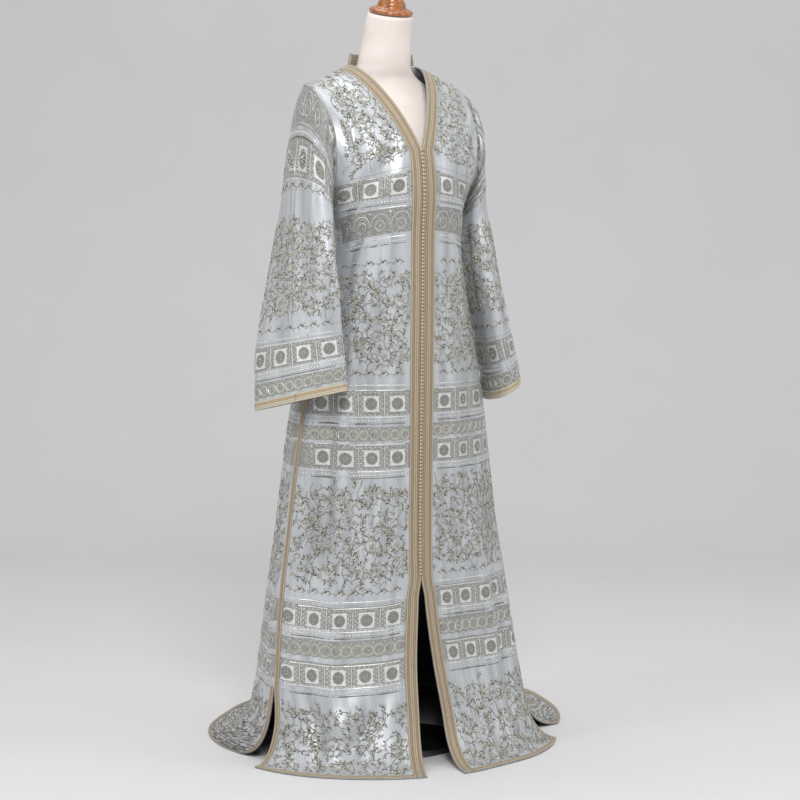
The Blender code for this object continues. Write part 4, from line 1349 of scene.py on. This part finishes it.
@dataclass(frozen=True)
class FormClothFinish:
    """Cream jersey stretched over the dress form: matt, with a fine knit 0.9 mm across, drawn at 1.5 mm."""

    name: str = "cream_form_cloth"
    colour: str = "#F0E6DF"
    shade: str = "#E8DCD5"
    knit_mm: float = 1.5

    def build(self) -> bpy.types.Material:
        """Make the material."""
        material, tree = new_material(self.name, Roughness=0.85, Sheen_Weight=0.15, Sheen_Roughness=0.6)
        place = node(tree, "TexCoord", out="Object")
        mottle = node(tree, "TexNoise", {"Vector": place, "Scale": 18.0, "Detail": 4.0})
        colour = node(tree, "ValToRGB", {0: mottle},
                      stops=[(0.35, srgb(self.shade)), (0.65, srgb(self.colour))])
        wave = {"Vector": place, "Scale": wave_scale(self.knit_mm)}
        rows = node(tree, "TexWave", wave, "Fac", bands_direction="Z")
        wales = node(tree, "TexWave", wave, "Fac", bands_direction="X")
        knit = node(tree, "Math", {0: rows, 1: wales}, operation="ADD")
        bump = node(tree, "Bump", {"Strength": 0.25, "Distance": 0.0003, "Height": knit})
        dress(tree, Base_Color=colour, Normal=bump)
        return material


@dataclass(frozen=True)
class WoodFinish:
    """Turned beech with a honey-brown stain and gloss varnish; the grain runs up the cap, 4 mm wide."""

    name: str = "varnished_wood"
    light: str = "#B9702C"
    dark: str = "#7A3D12"

    def build(self) -> bpy.types.Material:
        """Make the material."""
        material, tree = new_material(self.name, Roughness=0.28, Coat_Weight=0.8, Coat_Roughness=0.08)
        place = node(tree, "TexCoord", out="Object")
        long = node(tree, "Mapping", {"Vector": place, "Scale": (140.0, 140.0, 12.0)})
        grain = node(tree, "TexNoise", {"Vector": long, "Scale": 1.0, "Detail": 5.0})
        colour = node(tree, "ValToRGB", {0: grain}, stops=[(0.30, srgb(self.dark)), (0.68, srgb(self.light))])
        bump = node(tree, "Bump", {"Strength": 0.08, "Distance": 0.0003, "Height": grain})
        dress(tree, Base_Color=colour, Normal=bump)
        return material


@dataclass(frozen=True)
class SteelFinish:
    """Powder-grey steel tube and foot, slightly cloudy from its coating, with a grit of 0.5 mm."""

    name: str = "grey_steel"
    light: str = "#77787A"
    dark: str = "#5F6062"

    def build(self) -> bpy.types.Material:
        """Make the material."""
        material, tree = new_material(self.name, Metallic=1.0, Roughness=0.38)
        place = node(tree, "TexCoord", out="Object")
        cloud = node(tree, "TexNoise", {"Vector": place, "Scale": 40.0, "Detail": 5.0})
        colour = node(tree, "ValToRGB", {0: cloud}, stops=[(0.35, srgb(self.dark)), (0.65, srgb(self.light))])
        grit = node(tree, "TexNoise", {"Vector": place, "Scale": 2000.0})
        bump = node(tree, "Bump", {"Strength": 0.15, "Distance": 0.0002, "Height": grit})
        dress(tree, Base_Color=colour, Normal=bump)
        return material


@dataclass(frozen=True)
class PaperFinish:
    """Pale matt paper of the studio sweep, with a faint mottle."""

    name: str = "studio_paper"
    colour: str = "#DEDDDE"

    def build(self) -> bpy.types.Material:
        """Make the material."""
        material, tree = new_material(self.name, Roughness=0.9, Specular_IOR_Level=0.2)
        cloud = node(tree, "TexNoise", {"Vector": node(tree, "TexCoord", out="Object"), "Scale": 3.0})
        tone = srgb(self.colour)
        dulled = tuple(c * 0.98 for c in tone[:3]) + (1.0,)
        dress(tree, Base_Color=node(tree, "ValToRGB", {0: cloud}, stops=[(0.3, dulled), (0.7, tone)]))
        return material


@dataclass
class Panel:
    """A cut panel of the satin with its raised thread.

    Attributes:
        node: The solid it replaces.
        surface: Its dense surface.
        cut: Its flat cut; not used.
        first: Width kept clear of thread along the first edge.
        last: Width kept clear of thread along the last edge.
        bands: Its woven bands.
        seed: Start of the jitter in its sprigs.
        trims: The braids sewn to it; not used.
    """

    node: str
    surface: Surface
    cut: Cut
    first: float
    last: float
    bands: tuple[Band, ...]
    seed: int
    trims: list[bpy.types.Object] = field(default_factory=list)

    def build(self, satin: bpy.types.Material, thread: bpy.types.Material) -> None:
        s = self.surface
        cloth = declare(self.cloth_piece(satin), "silver_blue_satin", self.node)
        work = Threadwork(s, self.first, self.last, self.seed)
        work.weave(self.bands)
        raised = declare(work.lay(self.node + "_threadwork", thread), "raised_thread")

    def cloth_piece(self, satin: bpy.types.Material) -> bpy.types.Object:
        """The cloth as a closed thin wall, mapped in metres of cloth."""
        s = self.surface
        half = s.normals * CLOTH / 2
        share = np.broadcast_to(np.linspace(0, 1, s.points.shape[1])[None, :], s.points.shape[:2])
        along = (share - (0.5 if s.centred else 0.0)) * s.lengths[:, None]
        height = np.broadcast_to(s.heights[:, None], along.shape)
        for _ in range(3):
            height = s.heights[:, None] + s.drop(share, height)
        uv = np.stack([along, height], axis=2).reshape(-1, 2)
        verts, faces = walled(s.points + half, s.points - half, s.outward < 0)
        # painted shade on the inner side: full below the chest, a quarter of it near the neck
        inner_shade = 1 - 0.75 * smooth_step((np.abs(uv[:, 1]) - INNER_SHADE_FADE) / 0.15)
        cloth = join_mesh(self.node + "_cloth", verts, faces, satin, {
            "cloth": np.concatenate([uv, uv]), "inside": np.concatenate([np.zeros(len(uv)), inner_shade])})
        if s.closed:
            close_seam(cloth)
        return cloth


def close_seam(piece: bpy.types.Object) -> None:
    """Merge the repeated column of a ring-shaped wall and drop the faces that it shut in."""
    bpy.ops.object.select_all(action="DESELECT")
    bpy.context.view_layer.objects.active = piece
    piece.select_set(True)
    bpy.ops.object.mode_set(mode="EDIT")
    bpy.ops.mesh.select_all(action="SELECT")
    bpy.ops.mesh.remove_doubles(threshold=0.00001)
    bpy.ops.mesh.select_all(action="DESELECT")
    bpy.ops.mesh.select_mode(type="FACE")
    bpy.ops.mesh.select_interior_faces()
    bpy.ops.mesh.delete(type="FACE")
    bpy.ops.object.mode_set(mode="OBJECT")
    piece.select_set(False)


class Edge(Enum):
    """Edges of a panel that a braid can follow."""

    FIRST = "first"
    LAST = "last"
    HEM = "hem"
    CUFF = "cuff"


class Course(NamedTuple):
    """How a braid runs: the edge it follows, and where it starts and stops."""

    edge: Edge
    low: float
    high: float


# Width, cords and accent cords of each kind of braid
BRAIDS = {
    "front": (FRONT_BRAID_WIDTH, 6, (1, 4)), "side": (SIDE_BRAID_WIDTH, 3, (1,)),
    "slit": (SIDE_BRAID_WIDTH, 3, (1,)), "hem": (HEM_BRAID_WIDTH, 4, (2,)),
    "cuff": (CUFF_BRAID_WIDTH, 4, (2,)),
}
CORD_SHAPE = ((0.06, 0.25), (0.25, 0.80), (0.5, 1.0), (0.75, 0.80), (0.94, 0.25))


def cord_profile(cords: int, accents: Sequence[int] = ()) -> tuple[Array, ...]:
    """Place, rise and tint at each point across cords that lie side by side."""
    rows = [(0.0, 0.0, 0.0)]
    for k in range(cords):
        rows += [((k + u) / cords, rise, float(k in accents)) for u, rise in CORD_SHAPE]
    return tuple(np.array(rows + [(1.0, 0.0, 0.0)]).T)


@dataclass
class Braid:
    """A flat braid of cords that lies on the edge of a panel.

    Attributes:
        solid: The solid it replaces.
        surface: The cloth it lies on.
        course: The edge it follows and the pattern heights that it spans.
        width: Its width.
        cords: How many cords lie side by side.
        accents: The cords laid in a warmer thread.
        slot: Its material slot.
    """

    solid: str
    surface: Surface
    course: Course
    width: float
    cords: int
    accents: tuple[int, ...]
    slot: str
    cord_height: float = 0.0011
    base: float = 0.0005

    def lanes(self, place: Array) -> tuple[Array, Array]:
        """Distances along and heights for every point, lane by lane."""
        s, course = self.surface, self.course
        if course.edge in (Edge.FIRST, Edge.LAST):
            steps = max(2, round((course.high - course.low) / 0.006))
            heights = np.linspace(course.low, course.high, steps + 1)
            total = s.length_at(heights)
            inset = SEAM_GAP / 2
            if course.edge is Edge.FIRST:
                along = np.outer(np.ones(steps + 1), inset + place * (self.width - inset))
            else:
                along = total[:, None] - self.width + place[None, :] * (self.width - inset)
            if s.centred:
                along = along - total[:, None] / 2
            return along, np.broadcast_to(heights[:, None], along.shape)
        length = float(s.length_at(course.low))
        start, end = (0.0, length) if s.closed else (course.high, length - SIDE_BRAID_WIDTH - SEAM_GAP)
        steps = max(12, round((end - start) / 0.007))
        lane = np.linspace(start, end, steps + 1) - (length / 2 if s.centred else 0.0)
        height = np.broadcast_to(course.low + place[None, :] * self.width, (steps + 1, len(place)))
        along = np.broadcast_to(lane[:, None], height.shape)
        return along * (s.length_at(height) / length) if s.closed else along, height

    def build(self, material: bpy.types.Material) -> bpy.types.Object:
        """Make the braid as a closed ribbed strip."""
        place, rise, tint = cord_profile(self.cords, self.accents)
        s = self.surface
        level = self.course.edge in (Edge.HEM, Edge.CUFF)
        along, height = self.lanes(place)
        rows, columns = along.shape
        flat_a, flat_h = along.ravel(), height.ravel()
        out = CLOTH / 2 + self.base + rise * self.cord_height
        top = s.at(flat_a, flat_h, np.tile(out, rows), False).reshape(rows, columns, 3)
        sole = np.full(len(flat_a), CLOTH / 2 + 0.0001)
        under = s.at(flat_a, flat_h, sole, False).reshape(rows, columns, 3)
        verts, faces = walled(top, under, s.outward > 0 if level else s.outward < 0)
        uv = np.stack([flat_h, flat_a] if level else [flat_a, flat_h], axis=1)
        zero = np.zeros(rows * columns)
        piece = join_mesh(self.solid + "_corded", verts, faces, material, {
            "ridge": np.concatenate([np.tile(rise, rows), zero]),
            "tint": np.concatenate([np.tile(tint, rows), zero]),
            "cloth": np.concatenate([uv, uv]),
        })
        return declare(piece, self.slot, self.solid)


@dataclass
class CollarBand:
    """The standing braid round the back of the neck."""

    cords: int = 4
    steps: int = 60

    def build(self, material: bpy.types.Material) -> bpy.types.Object:
        """Make the band as a closed ribbed strip."""
        around = np.linspace(0, math.pi, self.steps + 1)
        place, rise, _ = cord_profile(self.cords)
        rows = []
        for share in place:
            lean = COLLAR_LEAN * share
            rows.append(np.stack([
                -(COLLAR_HALF_WIDTH - lean) * np.cos(around),
                SHOULDER_Y + SEAM_GAP + 0.001 + (BACK_NECK_DEPTH - lean) * np.sin(around),
                np.full(len(around), NECK_SIDE_HEIGHT + CLOTH / 2 + 0.001 + COLLAR_HEIGHT * share),
            ], axis=1))
        points = np.array(rows) + rest_place()
        base = Surface(points, place, outward=-1.0)
        outer = points + base.normals * (0.0008 + 0.0006 * rise)[:, None, None]
        verts, faces = walled(outer, points - base.normals * 0.0008, True)
        lane = np.linspace(0, float(base.lengths[0]), self.steps + 1)
        uv = np.stack(np.meshgrid(place * COLLAR_HEIGHT, lane, indexing="ij"), axis=2).reshape(-1, 2)
        tone = np.repeat(rise, self.steps + 1)
        piece = join_mesh("collar_braid", verts, faces, material, {
            "ridge": np.concatenate([tone, tone]), "tint": np.zeros(2 * len(tone)),
            "cloth": np.concatenate([uv, uv]),
        })
        return declare(piece, "gold_corded_braid", "collar_band")


class Knot(Enum):
    """The two halves of a fastening."""

    BUTTON = "button"
    LOOP = "loop"


@dataclass
class Closure:
    """The knotted buttons down the right edge and the cord loops on the left that go round them."""

    right: Surface
    left: Surface
    radius: float = 0.0026
    cord: float = 0.0007

    def template(self, kind: Knot) -> tuple[Array, Array]:
        """Model one button or one loop about the origin, z out of the cloth, and take its mesh."""
        bpy.ops.object.select_all(action="DESELECT")
        if kind is Knot.BUTTON:
            bpy.ops.mesh.primitive_uv_sphere_add(segments=10, ring_count=7, radius=self.radius)
            shape = (1.0, 1.0, 0.8)
        else:
            bpy.ops.mesh.primitive_torus_add(major_radius=self.radius * 1.05, minor_radius=self.cord,
                                             major_segments=12, minor_segments=6)
            shape = (1.35, 0.8, 1.0)
        bpy.ops.object.mode_set(mode="EDIT")
        bpy.ops.mesh.select_all(action="SELECT")
        bpy.ops.transform.resize(value=shape)
        bpy.ops.object.mode_set(mode="OBJECT")
        made = bpy.context.object
        verts = np.array([v.co for v in made.data.vertices])
        made.data.calc_loop_triangles()
        faces = np.array([t.vertices for t in made.data.loop_triangles])
        bpy.data.objects.remove(made, do_unlink=True)
        return verts, faces

    def string(self, name: str, solid: str, surface: Surface, kind: Knot, along: float, out: float,
               material: bpy.types.Material) -> bpy.types.Object:
        """Copy a button or loop down an edge, as one joined mesh."""
        verts, faces = self.template(kind)
        number = int((BUTTON_TOP - FRONT_SLIT_TOP) / BUTTON_PITCH)
        heights = BUTTON_TOP - BUTTON_PITCH * (np.arange(number) + 0.5)
        def spots(rise: float, lift: float) -> Array:
            """Each knot's place, moved up and out."""
            return surface.at(np.full(number, along), heights + rise, np.full(number, out + lift), False)
        base = spots(0.0, 0.0)
        up, away = spots(0.002, 0.0) - base, spots(0.0, 0.001) - base
        up /= np.linalg.norm(up, axis=1, keepdims=True)
        away /= np.linalg.norm(away, axis=1, keepdims=True)
        axes = np.stack([np.cross(up, away), up, away], axis=1)
        laid = base[:, None] + np.einsum("vk,nkc->nvc", verts, axes)
        tris = (faces[None] + (np.arange(number) * len(verts))[:, None, None]).reshape(-1, 3)
        # painted highlight on the outer side of each knot and painted shade at its foot, through the cord
        # finish
        tone = np.clip(0.35 + verts[:, 2] / self.radius, 0, 1)
        uv = verts[None, :, :2] + np.stack([np.zeros(number), heights], axis=1)[:, None]
        piece = join_mesh(name, laid.reshape(-1, 3), tris, material, {
            "ridge": np.tile(tone, number), "tint": np.zeros(number * len(verts)), "cloth": uv.reshape(-1, 2),
        })
        return declare(piece, "knotted_cord", solid)

    def build(self, material: bpy.types.Material) -> None:
        """Make the buttons and the loops."""
        out = CLOTH / 2 + 0.0030
        self.string("knotted_buttons", "button_row", self.right, Knot.BUTTON, 0.0030, out, material)
        self.string("cord_loops", "loop_row", self.left, Knot.LOOP, 0.0026, out - 0.0008, material)


@dataclass
class DressForm:
    """The limbless form with its turned cap, pole and foot."""

    points: int = 96
    row_step: float = 0.007

    def build_torso(self, material: bpy.types.Material) -> bpy.types.Object:
        """The smooth cloth-covered torso and neck."""
        low, high = TORSO[0].height, TORSO[-1].height
        heights = np.linspace(low, high, round((high - low) / self.row_step) + 1)
        known = column(TORSO, "height")
        half_width, front, back, tilt = (through(known, column(TORSO, key), heights)
                                         for key in ("half_width", "front_y", "back_y", "tilt"))
        around = np.linspace(0, 2 * math.pi, self.points, endpoint=False)[None, :]
        depth = ((back - front) / 2)[:, None]
        drop = depth * np.sin(np.radians(tilt))[:, None]
        grid = np.stack([half_width[:, None] * np.sin(around),
                         ((front + back) / 2)[:, None] - depth * np.cos(around),
                         heights[:, None] - drop * np.cos(around)], axis=2) + rest_place()
        count, last = self.points, (len(grid) - 1) * self.points
        verts = np.concatenate([grid.reshape(-1, 3), [grid[0].mean(axis=0), grid[-1].mean(axis=0)]])
        faces = []
        for j in range(count):
            k = (j + 1) % count
            faces += [(i + j, i + k, i + count + k, i + count + j) for i in range(0, last, count)]
            faces += [(k, j, last + count), (last + j, last + k, last + count + 1)]
        return declare(join_mesh("form_cloth", verts, faces, material), "cream_form_cloth", "form_torso")

    def build_cap(self, material: bpy.types.Material) -> bpy.types.Object:
        """The turned cap, drawn up ring by ring from its foot."""
        origin = rest_place() + np.array([0.0, CAP_Y, CAP_HEIGHT])
        bpy.ops.object.select_all(action="DESELECT")
        bpy.ops.mesh.primitive_circle_add(vertices=64, radius=CAP_PROFILE[0].radius, fill_type="NGON")
        piece = bpy.context.object
        piece.name = "turned_cap"
        bpy.ops.object.mode_set(mode="EDIT")
        bpy.ops.mesh.select_all(action="SELECT")
        for low, high in zip(CAP_PROFILE, CAP_PROFILE[1:]):
            step = high.height - low.height
            bpy.ops.mesh.extrude_region_move(TRANSFORM_OT_translate={"value": (0, 0, step)})
            ratio = high.radius / low.radius
            bpy.ops.transform.resize(value=(ratio, ratio, 1.0), center_override=(0, 0, high.height))
        bpy.ops.mesh.extrude_region_move(TRANSFORM_OT_translate={"value": (0, 0, 0.002)})
        crown = (0, 0, CAP_PROFILE[-1].height + 0.002)
        bpy.ops.transform.resize(value=(0.2, 0.2, 1.0), center_override=crown)
        bpy.ops.mesh.select_all(action="SELECT")
        bpy.ops.mesh.normals_make_consistent(inside=False)
        bpy.ops.object.mode_set(mode="OBJECT")
        smooth = piece.modifiers.new("rounded", "SUBSURF")
        smooth.levels = 1
        smooth.render_levels = 1
        bpy.ops.object.modifier_apply(modifier=smooth.name)
        piece.rotation_euler = (math.radians(CAP_TILT), 0, 0)
        piece.location = origin
        bpy.ops.object.transform_apply(location=True, rotation=True, scale=True)
        bpy.ops.object.shade_smooth()
        piece.data.materials.clear()
        piece.data.materials.append(material)
        piece.select_set(False)
        return declare(piece, "varnished_wood", "neck_cap")

    def dress_stand(self, material: bpy.types.Material) -> None:
        """Give the pole and the foot their steel."""
        for name in ("stand_pole", "stand_base"):
            piece = bpy.data.objects[name]
            for slot in piece.material_slots:
                slot.material = material


@dataclass
class Studio:
    """Plain pale sweep, soft lights and the camera."""

    distance: float = 5.0
    azimuth: float = 27.0
    eye: float = 1.2
    pitch: float = 5.057
    lens: float = 104.65

    def build(self) -> None:
        """Set the sweep, the lights and the camera."""
        self.sweep()
        self.lights()
        self.camera()

    def sweep(self) -> None:
        """A paper floor that curves up behind the object."""
        paper = PaperFinish().build()
        turn = math.radians(self.azimuth)
        behind = np.array([math.sin(turn), math.cos(turn)])
        across = np.array([math.cos(turn), -math.sin(turn)])
        profile = [(-7.0, 0.0), (0.0, 0.0), (2.4, 0.0)]
        profile += [(2.4 + 1.6 * math.sin(a), 1.6 - 1.6 * math.cos(a))
                    for a in np.linspace(0.1, math.pi / 2, 14)]
        profile += [(4.0, 6.0)]
        rows = []
        for reach, height in profile:
            rows.append([np.append(behind * reach + across * w, height - 0.0002) for w in (-7.0, 7.0)])
        grid = np.array(rows)
        verts = grid.reshape(-1, 3)
        piece = join_mesh("studio_sweep", verts, grid_faces(len(rows), 2)[:, ::-1], paper)

    def lights(self) -> None:
        """A large soft key at the left, a fill at the right, a top light and even surroundings."""
        world = bpy.data.worlds.new("studio")
        world.use_nodes = True
        world.node_tree.nodes["Background"].inputs["Color"].default_value = (1.0, 1.0, 1.0, 1.0)
        world.node_tree.nodes["Background"].inputs["Strength"].default_value = 0.54
        bpy.context.scene.world = world
        bpy.context.scene.view_settings.view_transform = "Standard"
        table = (
            ("key", (-1.3, -3.1, 3.3), (1.0, 1.0), 76.0),
            ("fill", (2.8, -2.2, 2.6), (1.4, 1.8), 16.0),
            ("top", (-0.2, 0.2, 4.2), (2.5, 2.5), 36.0),
            ("strip", (-3.2, -0.6, 2.2), (0.7, 1.8), 16.0),
        )
        for name, place, size, power in table:
            data = bpy.data.lights.new(name, "AREA")
            data.shape = "RECTANGLE"
            data.size, data.size_y = size
            data.energy = power
            lamp = bpy.data.objects.new(name, data)
            lamp.location = place
            aim = np.array([0.0, 0.0, 0.85]) - np.array(place)
            flat = math.hypot(aim[0], aim[1])
            lamp.rotation_euler = (math.pi / 2 + math.atan2(aim[2], flat), 0.0, math.atan2(-aim[0], aim[1]))
            bpy.context.scene.collection.objects.link(lamp)

    def camera(self) -> None:
        """The camera, level with the chest and to the wearer's right."""
        data = bpy.data.cameras.new("camera")
        data.lens = self.lens
        data.sensor_width = 36.0
        data.shift_x = 5 / 800
        eye = bpy.data.objects.new("camera", data)
        turn = math.radians(self.azimuth)
        place = rest_place()
        eye.location = (place[0] - self.distance * math.sin(turn), place[1] - self.distance * math.cos(turn),
                        self.eye)
        eye.rotation_euler = (math.radians(90 - self.pitch), 0.0, -turn)
        bpy.context.scene.collection.objects.link(eye)
        bpy.context.scene.camera = eye


@dataclass
class Kaftan:
    """The garment: five panels, their braids and the closure."""

    surfaces: dict[str, Surface] = field(default_factory=dict)

    def drape(self) -> None:
        """Work out every surface and press its creases in."""
        for side in ("right", "left"):
            self.surfaces[side] = panel_surface(side, FRONT_COLUMNS)
            self.surfaces["sleeve_" + side] = sleeve_surface(side)
        self.surfaces["back"] = panel_surface("back", BACK_COLUMNS)
        for name, surface in self.surfaces.items():
            surface.crease(Crease(*row) for row in CREASES[name])

    def braids(self) -> dict[str, list[bpy.types.Object]]:
        """Make every braid, listed by the panel it is sewn to."""
        gold = BraidFinish("gold_corded_braid", "#BFB29C", "#71614A", "#A89372").build()
        pale = BraidFinish("pale_gold_braid", "#DAD0BA", "#9C8B6E", "#C4B08C").build()
        hems = {name: float(surface.heights[0]) for name, surface in self.surfaces.items()}
        plan = []
        for side in ("right", "left"):
            hem = hems[side]
            plan += [
                ("front_braid_" + side, side, Edge.FIRST, hem, NECK_SIDE_HEIGHT),
                ("side_braid_" + side, side, Edge.LAST, hem, SIDE_BRAID_TOP),
                ("hem_braid_" + side, side, Edge.HEM, hem, FRONT_BRAID_WIDTH + SEAM_GAP),
                ("cuff_braid_" + side, "sleeve_" + side, Edge.CUFF, hems["sleeve_" + side], 0.0),
            ]
        hem = hems["back"]
        plan += [
            ("slit_braid_right", "back", Edge.FIRST, hem, SIDE_SLIT_TOP),
            ("slit_braid_left", "back", Edge.LAST, hem, SIDE_SLIT_TOP),
            ("hem_braid_back", "back", Edge.HEM, hem, SIDE_BRAID_WIDTH + SEAM_GAP),
        ]
        made: dict[str, list[bpy.types.Object]] = {name: [] for name in self.surfaces}
        for solid, panel, edge, low, high in plan:
            width, cords, accents = BRAIDS[solid.split("_")[0]]
            slot, finish = ("pale_gold_braid", pale) if edge is Edge.CUFF else ("gold_corded_braid", gold)
            braid = Braid(solid, self.surfaces[panel], Course(edge, low, high), width, cords, accents, slot)
            made[panel].append(braid.build(finish))
        CollarBand().build(gold)
        return made

    def build(self) -> None:
        """Make the panels, braids and closure."""
        self.drape()
        trims = self.braids()
        body_satin = SatinFinish("silver_blue_satin", BODY_BANDS).build()
        sleeve_satin = SatinFinish("silver_blue_satin_sleeve", SLEEVE_BANDS).build()
        thread = ThreadFinish().build()
        for seed, (name, flat) in enumerate(CUTS.items()):
            sleeve = name.startswith("sleeve")
            front = name in ("right", "left")
            Panel(
                node=f"front_{name}" if front else name, surface=self.surfaces[name], cut=flat,
                first=0.0 if sleeve else (FRONT_BRAID_WIDTH if front else 0.002),
                last=0.0 if sleeve else (SIDE_BRAID_WIDTH if front else 0.002),
                bands=SLEEVE_BANDS if sleeve else BODY_BANDS, seed=seed + 3, trims=trims[name],
            ).build(sleeve_satin if sleeve else body_satin, thread)
        cord = BraidFinish("knotted_cord", "#E6D7B0", "#6E5A3E", "#A98550", 1.5).build()
        Closure(self.surfaces["right"], self.surfaces["left"]).build(cord)


def main() -> None:
    """Build the kaftan, the dress form and the studio, in that order."""
    Kaftan().build()
    form = DressForm()
    form.build_torso(FormClothFinish().build())
    form.build_cap(WoodFinish().build())
    form.dress_stand(SteelFinish().build())
    Studio().build()
    bpy.context.view_layer.update()


if __name__ == "__main__":
    main()
